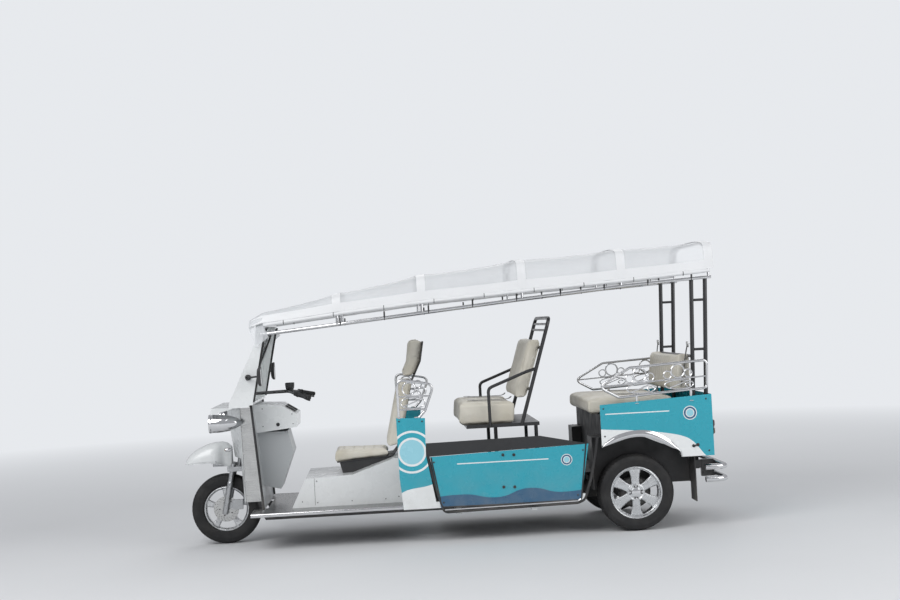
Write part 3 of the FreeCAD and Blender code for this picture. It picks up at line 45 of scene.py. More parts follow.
slot_of = {part["node"]: part["material_slot"] for part in frame["record"]["subparts"]}

# Photograph and camera, in its 900 x 600 pixels

picture_width = 900
picture_height = 600
depth_point = (386, 325)      # where lines across the vehicle meet
focal_pixels = 1473
street_slope = math.radians(3.0)
camera_place = Vector((-0.451, -11.6, 1.633))
sensor_width = 36.0


def camera():
    """The photo's camera, tilted with the sloping street and aimed by the depth point."""
    right = Vector((math.cos(street_slope), 0, -math.sin(street_slope)))
    upright = Vector((math.sin(street_slope), 0, math.cos(street_slope)))
    ahead = Vector((0, 1, 0)) * focal_pixels
    ahead += right * (picture_width / 2 - depth_point[0])
    ahead += upright * (depth_point[1] - picture_height / 2)
    ahead.normalize()
    side = ahead.cross(upright).normalized()
    over = side.cross(ahead)
    made = bpy.data.objects.new("camera", bpy.data.cameras.new("camera"))
    made.data.sensor_width = sensor_width
    made.data.lens = sensor_width * focal_pixels / picture_width
    made.data.clip_end = 200
    turn = Matrix((side, over, -ahead)).transposed()
    made.matrix_world = Matrix.Translation(camera_place) @ turn.to_4x4()
    bpy.context.scene.collection.objects.link(made)
    bpy.context.scene.camera = made


# Stage


def rays(tree, *kinds):
    """One where a ray of the given kinds looks, from the light path."""
    path = tree.nodes.new("ShaderNodeLightPath")
    total = path.outputs[kinds[0]]
    for kind in kinds[1:]:
        larger = tree.nodes.new("ShaderNodeMath")
        larger.operation = "MAXIMUM"
        tree.links.new(total, larger.inputs[0])
        tree.links.new(path.outputs[kind], larger.inputs[1])
        total = larger.outputs[0]
    return total


def studio():
    """Pale surroundings and three soft lamps."""
    world = bpy.data.worlds.new("studio")
    bpy.context.scene.world = world
    world.use_nodes = True
    tree = world.node_tree
    plain = tree.nodes["Background"]
    plain.inputs["Color"].default_value = (0.93, 0.95, 1.0, 1)
    plain.inputs["Strength"].default_value = 0.42
    seen = tree.nodes.new("ShaderNodeBackground")
    seen.inputs["Color"].default_value = (0.80, 0.82, 0.85, 1)
    seen.inputs["Strength"].default_value = 1.0
    either = tree.nodes.new("ShaderNodeMixShader")
    tree.links.new(rays(tree, "Is Camera Ray", "Is Transmission Ray"), either.inputs[0])
    tree.links.new(plain.outputs[0], either.inputs[1])
    tree.links.new(seen.outputs[0], either.inputs[2])
    tree.links.new(either.outputs[0], tree.nodes["World Output"].inputs["Surface"])
    bpy.context.scene.view_settings.view_transform = "Standard"

    lamps = (
        # name, place, size, power
        ("key", (-4.0, -6.0, 6.5), 5.0, 380),
        ("fill", (6.0, -5.0, 4.0), 5.0, 200),
        ("back", (1.0, 7.0, 6.0), 6.0, 160),
    )
    for name, place, size, power in lamps:
        data = bpy.data.lights.new(name, "AREA")
        data.size = size
        data.energy = power
        lamp = bpy.data.objects.new(name, data)
        lamp.location = place
        aim = Vector((0, 0, 0.9)) - Vector(place)
        lamp.rotation_euler = aim.to_track_quat("-Z", "Y").to_euler()
        bpy.context.scene.collection.objects.link(lamp)


def floor():
    """Pale floor that fades into the surroundings where it is only looked at."""
    half = 60.0
    mesh = bpy.data.meshes.new("floor")
    corners = [(-half, -half, 0), (half, -half, 0), (half, half, 0), (-half, half, 0)]
    mesh.from_pydata(corners, [], [(0, 1, 2, 3)])
    made = bpy.data.objects.new("floor", mesh)
    bpy.context.scene.collection.objects.link(made)
    paint = Paint("floor_pale", Roughness=0.8)
    paint.colour(paint.mix(paint.noise(0.7, 3), (0.70, 0.71, 0.72), (0.74, 0.75, 0.76)))
    near = paint.add("ShaderNodeVectorMath", {0: paint.place}, operation="LENGTH").outputs["Value"]
    pale = paint.add("ShaderNodeEmission", {"Color": (0.80, 0.82, 0.85, 1), "Strength": 1.0})
    blend = paint.add("ShaderNodeMixShader", {0: paint.steps(near, 4.0, 13.0)})
    paint.tree.links.new(paint.shader.outputs[0], blend.inputs[1])
    paint.tree.links.new(pale.outputs[0], blend.inputs[2])
    looks = rays(paint.tree, "Is Camera Ray", "Is Glossy Ray", "Is Transmission Ray")
    seen = paint.add("ShaderNodeMixShader", {0: looks})
    paint.tree.links.new(paint.shader.outputs[0], seen.inputs[1])
    paint.tree.links.new(blend.outputs[0], seen.inputs[2])
    paint.tree.links.new(seen.outputs[0], paint.tree.nodes["Material Output"].inputs["Surface"])
    made.data.materials.append(paint.material)


# Materials


class Paint:
    """A surface whose colour, roughness and bump come from nodes in the part's own frame."""

    def __init__(self, name, **sockets):
        self.material = bpy.data.materials.new(name)
        self.material.use_nodes = True
        self.tree = self.material.node_tree
        self.shader = self.tree.nodes["Principled BSDF"]
        for socket, value in sockets.items():
            self.shader.inputs[socket.replace("_", " ")].default_value = value
        self.place = self.add("ShaderNodeTexCoord").outputs["Object"]
        self.axes = None

    def add(self, kind, inputs=(), **settings):
        made = self.tree.nodes.new(kind)
        for name, value in settings.items():
            setattr(made, name, value)
        for socket, value in dict(inputs).items():
            self.feed(made.inputs[socket], value)
        return made

    def feed(self, socket, value):
        if isinstance(value, bpy.types.NodeSocket):
            self.tree.links.new(value, socket)
        elif hasattr(value, "__len__") and socket.type == "RGBA" and len(value) == 3:
            socket.default_value = (*value, 1)
        else:
            socket.default_value = value

    def stretched(self, scale):
        return self.add("ShaderNodeMapping", {"Vector": self.place, "Scale": scale}).outputs[0]

    def noise(self, scale, detail=2.0, rough=0.5, place=None):
        where = self.place if place is None else place
        told = {"Vector": where, "Scale": scale, "Detail": detail, "Roughness": rough}
        return self.add("ShaderNodeTexNoise", told).outputs["Fac"]

    def cells(self, scale, place=None, feature="F1"):
        where = self.place if place is None else place
        made = self.add("ShaderNodeTexVoronoi", {"Vector": where, "Scale": scale}, feature=feature)
        return made.outputs["Distance"]

    def math(self, operation, first, second=0.0, third=None):
        inputs = {0: first, 1: second}
        if third is not None:
            inputs[2] = third
        return self.add("ShaderNodeMath", inputs, operation=operation).outputs[0]

    def steps(self, value, low, high, to_low=0.0, to_high=1.0):
        told = {"Value": value, "From Min": low, "From Max": high, "To Min": to_low, "To Max": to_high}
        return self.add("ShaderNodeMapRange", told).outputs["Result"]

    def cloudy(self, scale, detail, low=0.3, high=0.7, to_low=0.0, to_high=1.0):
        """Noise spread over the given range."""
        return self.steps(self.noise(scale, detail), low, high, to_low, to_high)

    def mix(self, share, first, second):
        made = self.add("ShaderNodeMix", data_type="RGBA")
        self.feed(made.inputs["Factor"], share)
        self.feed(made.inputs[6], first)
        self.feed(made.inputs[7], second)
        return made.outputs[2]

    def axis(self, name):
        if self.axes is None:
            self.axes = self.add("ShaderNodeSeparateXYZ", {"Vector": self.place}).outputs
        return self.axes[name]

    def colour(self, value):
        self.feed(self.shader.inputs["Base Color"], value)

    def rough(self, value):
        self.feed(self.shader.inputs["Roughness"], value)

    def bump(self, height, distance, strength=1.0):
        told = {"Height": height, "Distance": distance, "Strength": strength}
        made = self.add("ShaderNodeBump", told)
        earlier = self.shader.inputs["Normal"]
        if earlier.links:
            self.feed(made.inputs["Normal"], earlier.links[0].from_socket)
        self.feed(earlier, made.outputs["Normal"])

    def dust(self, colour, low=0.05, top=0.55, most=0.35):
        """Road dust that thins out upwards."""
        height = self.steps(self.axis("Z"), low, top, most, 0.0)
        share = self.math("MULTIPLY", height, self.cloudy(7, 5, 0.35, 0.7))
        return self.mix(share, colour, road_dust)


road_dust = (0.33, 0.31, 0.28)


def dimmed(colour, share):
    return tuple(value * share for value in colour)


def painted(name, colour, rough=0.28, coat=0.5, dust=0.25):
    """Sprayed enamel: faint orange peel, cloudy gloss and road dust low down."""
    paint = Paint(name, Coat_Weight=coat, Coat_Roughness=0.12)
    clouds = paint.cloudy(2.5, 4)
    paint.colour(paint.dust(paint.mix(clouds, dimmed(colour, 0.93), colour), most=dust))
    paint.rough(paint.cloudy(11, 4, to_low=rough - 0.07, to_high=rough + 0.1))
    paint.bump(paint.noise(420, 1), 0.0002, 0.25)
    return paint


def metal(name, colour, rough, grain=(1, 1, 1), grain_scale=60, grime=0.12):
    """Bare or plated metal: smudges in its gloss, drawn grain where it is given."""
    paint = Paint(name, Metallic=1.0)
    smudge = paint.cloudy(9, 5, 0.35, 0.75)
    paint.colour(paint.dust(paint.mix(smudge, colour, dimmed(colour, 0.86)), most=grime))
    streak = paint.noise(grain_scale, 3, place=paint.stretched(grain))
    paint.rough(paint.steps(streak, 0.3, 0.7, rough * 0.6, rough * 1.5))
    paint.bump(streak, 0.0004, 0.12)
    return paint


def moulded(name, colour, rough=0.55, grain=700, depth=0.0003):
    """Moulded plastic or rubber with a fine pebbled skin."""
    paint = Paint(name)
    clouds = paint.cloudy(5, 4)
    paint.colour(paint.dust(paint.mix(clouds, colour, dimmed(colour, 1.5)), most=0.45))
    paint.rough(paint.cloudy(14, 3, to_low=rough - 0.1, to_high=rough + 0.12))
    paint.bump(paint.cells(grain), depth, 0.5)
    return paint


def vinyl(name, colour):
    """Stretched upholstery vinyl: pebbled grain, soft creases and handled darker patches."""
    paint = Paint(name, Specular_IOR_Level=0.45)
    handled = paint.cloudy(5, 5, 0.42, 0.72)
    paint.colour(paint.mix(handled, colour, (colour[0] * 0.86, colour[1] * 0.84, colour[2] * 0.79)))
    paint.rough(paint.cloudy(16, 4, to_low=0.36, to_high=0.55))
    creases = paint.noise(13, 6, 0.6, paint.stretched((1, 1, 2.2)))
    paint.bump(creases, 0.006, 0.35)
    paint.bump(paint.cells(520), 0.0006, 0.45)
    return paint


def sheeting(name, tint, solid):
    """Flexible sheet: smooth and milky, with long soft folds; solid is the least and most that it covers."""
    paint = Paint(name, IOR=1.45, Coat_Weight=0.1, Coat_Roughness=0.3)
    milk = paint.cloudy(2.1, 4, 0.3, 0.72)
    paint.colour(paint.mix(milk, tint, dimmed(tint, 0.94)))
    paint.rough(paint.cloudy(6, 3, to_low=0.42, to_high=0.56))
    folds = paint.noise(3.4, 4, 0.5, paint.stretched((1.0, 2.6, 1.6)))
    ridged = paint.math("ABSOLUTE", paint.math("SUBTRACT", folds, 0.5))
    paint.bump(ridged, 0.03, 0.3)
    paint.feed(paint.shader.inputs["Alpha"], paint.steps(milk, 0.0, 1.0, solid[0], solid[1]))
    return paint


def glass(name, tint, rough=0.02):
    """Clear or tinted glass, wiped unevenly."""
    paint = Paint(name, IOR=1.45, Transmission_Weight=1.0)
    wiped = paint.cloudy(6, 5, 0.45, 0.8, rough, rough + 0.07)
    paint.rough(wiped)
    paint.colour(paint.mix(paint.cloudy(4, 3), tint, dimmed(tint, 0.96)))
    return paint


def between(paint, value, low, high):
    """One where the value lies between the two limits."""
    above = paint.math("GREATER_THAN", value, low)
    below = paint.math("LESS_THAN", value, high)
    return paint.math("MULTIPLY", above, below)


def disc(paint, centre, radius):
    """One inside a round spot on the side of the body, given by its place along and up."""
    along = paint.math("SUBTRACT", paint.axis("X"), centre[0])
    up = paint.math("SUBTRACT", paint.axis("Z"), centre[1])
    squares = paint.math("ADD", paint.math("MULTIPLY", along, along), paint.math("MULTIPLY", up, up))
    return paint.math("LESS_THAN", squares, radius * radius)


def under_line(paint, points):
    """One below a smooth line through points given along and up."""
    first, last = points[0][0], points[-1][0]
    low = min(point[1] for point in points)
    high = max(point[1] for point in points)
    curve = paint.tree.nodes.new("ShaderNodeFloatCurve")
    paint.feed(curve.inputs["Value"], paint.steps(paint.axis("X"), first, last))
    line = curve.mapping.curves[0]
    shares = [((x - first) / (last - first), (z - low) / (high - low)) for x, z in points]
    line.points[0].location = shares[0]
    line.points[1].location = shares[-1]
    for share in shares[1:-1]:
        line.points.new(*share)
    curve.mapping.update()
    level = paint.steps(curve.outputs[0], 0.0, 1.0, low, high)
    return paint.math("LESS_THAN", paint.axis("Z"), level)


teal = (0.018, 0.36, 0.46)
white = (0.80, 0.82, 0.82)
deep_blue = (0.02, 0.10, 0.20)
pale_blue = (0.30, 0.62, 0.72)


def teal_panel(name, marks):
    """Teal enamel with its white fields, rings and bands; marks gives shares and colours in order."""
    paint = painted(name, teal, 0.25)
    clouds = paint.cloudy(2.5, 4)
    colour = paint.mix(clouds, dimmed(teal, 0.93), teal)
    for share, tint in marks(paint):
        colour = paint.mix(share, colour, tint)
    paint.colour(paint.dust(colour, 0.15, 0.6, 0.28))
    return paint


column_white_edge = ((-0.420, 0.360), (-0.375, 0.399), (-0.188, 0.434), (-0.127, 0.460), (-0.090, 0.500))
column_ring = (-0.308, 0.685)
rear_white_edge = ((1.05, 0.782), (1.104, 0.774), (1.330, 0.756), (1.561, 0.727), (1.722, 0.689),
                   (1.787, 0.649), (1.822, 0.610), (1.878, 0.540), (1.95, 0.480))
side_hill_edge = ((-0.18, 0.330), (0.05, 0.352), (0.30, 0.318), (0.55, 0.372), (0.80, 0.330), (1.02, 0.385))


def ringed(paint, centre, outer, band, field):
    """A plain ring with a pale centre: white, then the field colour, then white again."""
    return [
        (disc(paint, centre, outer), white),
        (disc(paint, centre, outer - band), field),
        (disc(paint, centre, outer - 3.2 * band), white),
        (disc(paint, centre, outer - 4.2 * band), pale_blue),
    ]


def column_marks(paint):
    """A white foot and one ring on the front column."""
    return [(under_line(paint, column_white_edge), white)] + ringed(paint, column_ring, 0.158, 0.016, teal)


def side_marks(paint):
    """Blue hills along the bottom, a thin stripe and a small ring."""
    stripe = between(paint, paint.axis("Z"), 0.575, 0.583)
    run = between(paint, paint.axis("X"), 0.02, 0.70)
    return [
        (under_line(paint, side_hill_edge), deep_blue),
        (paint.math("MULTIPLY", stripe, run), white),
    ] + ringed(paint, (0.835, 0.566), 0.042, 0.005, deep_blue)


def rear_marks(paint):
    """The white wave over the wheel, a thin stripe and a small ring."""
    stripe = between(paint, paint.axis("Z"), 0.880, 0.888)
    run = between(paint, paint.axis("X"), 1.14, 1.62)
    return [
        (under_line(paint, rear_white_edge), white),
        (paint.math("MULTIPLY", stripe, run), white),
    ] + ringed(paint, (1.775, 0.862), 0.052, 0.006, deep_blue)


def chequer(name):
    """Raised diagonal bars on bright plate, by bump, with worn tops."""
    paint = metal(name, (0.62, 0.63, 0.64), 0.3)
    pitch = 0.03
    bars = None
    for turn, shift in ((45, 0.0), (-45, 0.5)):
        turned = paint.add("ShaderNodeMapping", {
            "Vector": paint.place,
            "Location": (shift * pitch, shift * pitch, 0),
        }).outputs[0]
        cell = paint.add("ShaderNodeVectorMath", {0: turned, 1: (pitch, pitch, 1)},
                         operation="MODULO").outputs[0]
        spot = paint.add("ShaderNodeMapping", {
            "Vector": cell,
            "Location": (-pitch / 2, -pitch / 2, 0),
        }).outputs[0]
        turned = paint.add("ShaderNodeMapping", {
            "Vector": spot,
            "Rotation": (0, 0, math.radians(turn)),
            "Scale": (1 / 0.012, 1 / 0.0035, 0),
        }).outputs[0]
        length = paint.add("ShaderNodeVectorMath", {0: turned}, operation="LENGTH").outputs["Value"]
        bar = paint.steps(length, 0.6, 1.1, 1.0, 0.0)
        bars = bar if bars is None else paint.math("MAXIMUM", bars, bar)
    paint.bump(bars, 0.0016, 1.0)
    paint.colour(paint.mix(bars, (0.34, 0.34, 0.34), (0.72, 0.73, 0.74)))
    return paint


def tyre_rubber(name):
    """Worn black rubber with dust caught in it."""
    paint = moulded(name, (0.014, 0.014, 0.015), 0.72, 900, 0.0002)
    dusty = paint.cloudy(9, 5, 0.4, 0.75, 0.0, 0.35)
    paint.colour(paint.mix(dusty, (0.012, 0.012, 0.013), (0.045, 0.042, 0.038)))
    return paint


def webbing(name):
    """Black woven belt with fine slanting ribs."""
    paint = Paint(name, Roughness=0.7, Sheen_Weight=0.3)
    rib = paint.add("ShaderNodeTexWave", {"Vector": paint.place, "Scale": 260.0, "Distortion": 0.4},
                    wave_type="BANDS", bands_direction="DIAGONAL").outputs["Fac"]
    paint.colour(paint.mix(rib, (0.010, 0.010, 0.011), (0.028, 0.028, 0.030)))
    paint.bump(rib, 0.0004, 0.6)
    return paint


def dull_black(name):
    """Black board that stays dark at a glancing view, scuffed and a little dusty."""
    paint = Paint(name, Specular_IOR_Level=0.12)
    scuffs = paint.cloudy(22, 5, 0.45, 0.7)
    paint.colour(paint.mix(scuffs, (0.012, 0.012, 0.013), (0.026, 0.026, 0.027)))
    paint.rough(paint.cloudy(11, 4, to_low=0.45, to_high=0.65))
    paint.bump(paint.noise(60, 4), 0.0004, 0.2)
    return paint


finishes = {
    "frame_black": lambda: painted("black_enamel", (0.022, 0.022, 0.024), 0.34, 0.3),
    "white_paint": lambda: painted("white_enamel", white, 0.26),
    "grey_paint": lambda: painted("grey_enamel", (0.46, 0.48, 0.49), 0.4, 0.2),
    "bright_steel": lambda: metal("bright_sheet", (0.62, 0.62, 0.61), 0.2, (1, 1, 40), 8),
    "chrome_tube": lambda: metal("chrome", (0.78, 0.78, 0.79), 0.1),
    "alloy": lambda: metal("cast_alloy", (0.74, 0.75, 0.76), 0.3, grime=0.05),
    "fork_alloy": lambda: metal("fork_silver", (0.55, 0.56, 0.57), 0.34),
    "tyre": lambda: tyre_rubber("road_tyre"),
    "black_rubber": lambda: moulded("seal_rubber", (0.018, 0.018, 0.019), 0.6, 900, 0.0002),
    "black_plastic": lambda: moulded("black_moulding", (0.024, 0.024, 0.025), 0.5),
    "cream_vinyl": lambda: vinyl("cream_vinyl", (0.66, 0.63, 0.55)),
    "canopy_sheet": lambda: sheeting("roof_sheet", (0.80, 0.82, 0.84), (0.52, 0.68)),
    "curtain_sheet": lambda: sheeting("curtain_sheet", (0.82, 0.83, 0.84), (0.93, 1.0)),
    "screen_glass": lambda: glass("screen_glass", (0.93, 0.96, 0.96)),
    "lens_glass": lambda: glass("lamp_glass", (0.96, 0.97, 0.98), 0.05),
    "red_lens": lambda: glass("red_lens", (0.55, 0.02, 0.02), 0.08),
    "amber_lens": lambda: glass("amber_glass", (0.85, 0.30, 0.03), 0.08),
    "mirror_silver": lambda: metal("mirror_silver", (0.86, 0.87, 0.88), 0.02, grime=0.0),
    "belt_web": lambda: webbing("belt_web"),
    "chequer_plate": lambda: chequer("chequer_plate"),
    "battery_case": lambda: moulded("battery_case", (0.03, 0.03, 0.033), 0.6),
    "axle_steel": lambda: painted("axle_black", (0.03, 0.03, 0.032), 0.45, 0.1, 0.5),
    "dark_floor": lambda: painted("floor_grey", (0.028, 0.029, 0.031), 0.6, 0.0, 0.2),
}
special_finishes = {
    "rear_seat_box": lambda: dull_black("box_black"),
    "front_quarter_panels": lambda: teal_panel("teal_column", column_marks),
    "side_panels": lambda: teal_panel("teal_side", side_marks),
    "rear_body_panels": lambda: teal_panel("teal_rear", rear_marks),
}
made_finishes = {}


def finish_of(slot):
    """The material of a slot, made once."""
    if slot not in made_finishes:
        made_finishes[slot] = finishes[slot]().material
    return made_finishes[slot]


def dress_nodes():
    """Gives each carried node its finish."""
    for name, thing in nodes.items():
        if name in special_finishes:
            material = special_finishes[name]().material
        else:
            material = finish_of(slot_of[name])
        thing.data.materials.clear()
        thing.data.materials.append(material)
        for face in thing.data.polygons:
            face.material_index = 0


# Shapes

front_axle = -1.761
rear_axle = 1.353
front_radius = 0.270
rear_radius = 0.285
rear_track = 0.576
back_slope = 0.32
post_lean = 0.0366


class Form:
    """Collects the points and faces of one piece, in metres."""

    def __init__(self):
        self.points = []
        self.faces = []

    def rows(self, rows, close_across=False, close_along=False, cap=False):
        """A skin over rows of equal length."""
        base = len(self.points)
        wide = len(rows[0])
        for row in rows:
            self.points.extend(tuple(point) for point in row)
        last_row = len(rows) if close_along else len(rows) - 1
        last = wide if close_across else wide - 1
        for i in range(last_row):
            low = base + i * wide
            high = base + ((i + 1) % len(rows)) * wide
            for j in range(last):
                k = (j + 1) % wide
                self.faces.append((low + j, low + k, high + k, high + j))
        if cap:
            self.faces.append(tuple(base + j for j in reversed(range(wide))))
            top = base + (len(rows) - 1) * wide
            self.faces.append(tuple(top + j for j in range(wide)))

    def tube(self, path, radius, sides=14, closed=False, flat=1.0):
        """A round bar along a path; flat narrows it across its own plane."""
        spots = [Vector(point) for point in path]
        count = len(spots)
        rings = []
        side = None
        for index, here in enumerate(spots):
            if closed:
                along = spots[(index + 1) % count] - spots[index - 1]
            else:
                along = spots[min(index + 1, count - 1)] - spots[max(index - 1, 0)]
            along.normalize()
            if side is None:
                side = along.cross(Vector((0, 1, 0)))
                if side.length < 0.3:
                    side = along.cross(Vector((0, 0, 1)))
            side = (side - along * side.dot(along)).normalized()
            over = along.cross(side)
            rings.append([
                here + (side * math.cos(a) * radius + over * math.sin(a) * radius * flat)
                for a in turns(sides)
            ])
        self.rows(rings, close_across=True, close_along=closed, cap=not closed)

    def lathe(self, outline, centre, axis=(1, 0, 0), steps=48, cap=False):
        """Outline pairs of (along, radius) turned about the axis through the centre."""
        axis = Vector(axis).normalized()
        side = axis.cross(Vector((0, 0, 1)))
        if side.length < 0.3:
            side = axis.cross(Vector((0, 1, 0)))
        side.normalize()
        over = axis.cross(side)
        rings = []
        for along, reach in outline:
            rings.append([
                Vector(centre) + axis * along + (side * math.cos(a) + over * math.sin(a)) * reach
                for a in turns(steps)
            ])
        self.rows(rings, close_across=True, cap=cap)

    def box(self, low, high):
        (a, b, c), (d, e, f) = low, high
        self.rows([
            [(a, b, c), (d, b, c), (d, e, c), (a, e, c)],
            [(a, b, f), (d, b, f), (d, e, f), (a, e, f)],
        ], close_across=True, cap=True)

    def slab(self, outline, low, high):
        """A side outline of (along, up) pairs given depth across the vehicle."""
        self.rows([[(x, low, z) for x, z in outline], [(x, high, z) for x, z in outline]],
                  close_across=True, cap=True)

    def mesh(self, name):
        """The points and faces as a mesh, with its faces turned outwards."""
        mesh = bpy.data.meshes.new(name)
        mesh.from_pydata([tuple(point) for point in self.points], [], self.faces)
        work = bmesh.new()
        work.from_mesh(mesh)
        bmesh.ops.recalc_face_normals(work, faces=work.faces)
        work.to_mesh(mesh)
        work.free()
        return mesh

    def piece(self, name, slot, body, stands_for=(), bevel=0.0, crease=32, material=None):
        return settle(name, self.mesh(name), slot, body, stands_for, bevel, crease, material)


def settle(name, mesh, slot, body, stands_for=(), bevel=0.0, crease=32, material=None):
    """Links a mesh as a piece with its finish, on its body."""
    for face in mesh.polygons:
        face.use_smooth = True
    mesh.set_sharp_from_angle(angle=math.radians(crease))
    mesh.materials.clear()
    mesh.materials.append(material or finish_of(slot))
    made = bpy.data.objects.new(name, mesh)
    bpy.context.scene.collection.objects.link(made)
    if bevel:
        soft = made.modifiers.new("edges", "BEVEL")
        soft.width = bevel
        soft.segments = 2
        soft.limit_method = "ANGLE"
        soft.angle_limit = math.radians(35)
        soft.harden_normals = True
    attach(made, body)
    if stands_for:
        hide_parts(*stands_for)
    return made


def bent(points, radius, closed=False, steps=7):
    """The path through the points with each corner rounded."""
    spots = [Vector(point) for point in points]
    count = len(spots)
    path = []
    for index, here in enumerate(spots):
        if not closed and index in (0, count - 1):
            path.append(here)
            continue
        before = spots[index - 1] - here
        after = spots[(index + 1) % count] - here
        reach = min(before.length, after.length) * 0.49
        before.normalize()
        after.normalize()
        half = before.angle(after) / 2
        if half > math.radians(89.5):
            path.append(here)
            continue
        back = min(radius / math.tan(half), reach)
        for step in range(steps + 1):
            t = step / steps
            start = here + before * back
            end = here + after * back
            path.append(start * (1 - t) ** 2 + here * 2 * t * (1 - t) + end * t ** 2)
    return path


def curved(points, steps=8, closed=False):
    """A smooth path through all the points."""
    spots = [Vector(point) for point in points]
    count = len(spots)
    path = []
    for index in range(count if closed else count - 1):
        a = spots[index - 1] if closed or index else spots[0]
        b = spots[index]
        c = spots[(index + 1) % count]
        d = spots[(index + 2) % count] if closed or index + 2 < count else spots[-1]
        for step in range(steps):
            t = step / steps
            path.append(0.5 * (2 * b + (c - a) * t + (2 * a - 5 * b + 4 * c - d) * t * t
                               + (3 * b - a - 3 * c + d) * t ** 3))
    if not closed:
        path.append(spots[-1])
    return path


def both(build):
    """Runs a builder for the driver's left and for the kerb side."""
    for side in (-1, 1):
        build(side)


def side_name(side):
    return "left" if side < 0 else "right"


def once(side, node):
    """The node that a pair stands for, named by its left piece only."""
    return [node] if side < 0 else []


def turns(count):
    """Angles of even steps round a full turn."""
    return [2 * math.pi * k / count for k in range(count)]


def squared_ring(count, half_u, half_v, power_u, power_v):
    """A rounded rectangle: the lower its powers, the squarer."""
    ring = []
    for a in turns(count):
        c, s = math.cos(a), math.sin(a)
        ring.append((
            half_u * math.copysign(abs(c) ** power_u, c),
            half_v * math.copysign(abs(s) ** power_v, s),
        ))
    return ring


# Roof

roof_rows = (
    # station, lower edge, crown, half width
    (-1.464, 1.668, 1.727, 0.604),
    (-1.371, 1.694, 1.780, 0.620),
    (-0.811, 1.7495, 1.893, 0.684),
    (-0.179, 1.8025, 2.006, 0.684),
    (0.573, 1.8465, 2.083, 0.684),
    (1.319, 1.8855, 2.125, 0.684),
    (2.015, 1.9315, 2.154, 0.684),
)
canopy_end = 2.013
band_half = 0.032
roll_turns = 9
roll_points = 126
roll_radius = 0.015
roll_start = -1.361
roll_end = 1.981
roll_front = (0.6185, 1.6788)
roll_joint = (0.6825, 1.7340)
tie_pitch = 0.374
tie_first = -1.209
rail_half_width = 0.646
roof_rail = ((-0.811, 1.660), (-0.179, 1.713), (0.573, 1.776), (1.319, 1.833), (1.981, 1.868))
clip_first = -0.790
clip_pitch = 0.33
hoops = (-0.811, -0.179, 0.573, 1.319, 1.981)


def roof_at(x):
    """Lower edge, crown and half width at a station, read smoothly between the rows."""
    for index in range(len(roof_rows) - 1):
        if x <= roof_rows[index + 1][0] or index == len(roof_rows) - 2:
            a, b = roof_rows[index], roof_rows[index + 1]
            t = (x - a[0]) / (b[0] - a[0])
            return tuple(a[k] + (b[k] - a[k]) * t for k in (1, 2, 3))


def roof_ring(x, lift=0.0, count=56):
    """Points across the roof from one lower edge to the other."""
    low, crown, half = roof_at(x)
    rise = crown - low
    right = [
        (half, low), (half - 0.006, low + rise * 0.34), (half - 0.016, low + rise * 0.64),
        (half - 0.040, low + rise * 0.80), (half - 0.092, crown - rise * 0.115),
        (half - 0.285, crown - rise * 0.028), (0.0, crown),
    ]
    flat = right + [(-y, z) for y, z in reversed(right[:-1])]
    path = curved([(0, y, z) for y, z in flat], 10)
    lengths = [0.0]
    for a, b in zip(path, path[1:]):
        lengths.append(lengths[-1] + (b - a).length)
    ring = []
    spot = 0
    for step in range(count + 1):
        goal = lengths[-1] * step / count
        while spot < len(path) - 2 and lengths[spot + 1] < goal:
            spot += 1
        share = (goal - lengths[spot]) / max(lengths[spot + 1] - lengths[spot], 1e-9)
        point = path[spot].lerp(path[spot + 1], min(max(share, 0), 1))
        outward = Vector((0, point.y * 0.9, point.z - (low - 0.2))).normalized()
        ring.append(Vector((x, point.y, point.z)) + outward * lift)
    return ring


def span_share(x):
    """How far a station is from its hoops: 0 on a hoop, 1 midway between two."""
    stations = (-1.371,) + hoops
    for a, b in zip(stations, stations[1:]):
        if a <= x <= b:
            return math.sin(math.pi * (x - a) / (b - a)), (b - a)
    return 0.0, 0.5


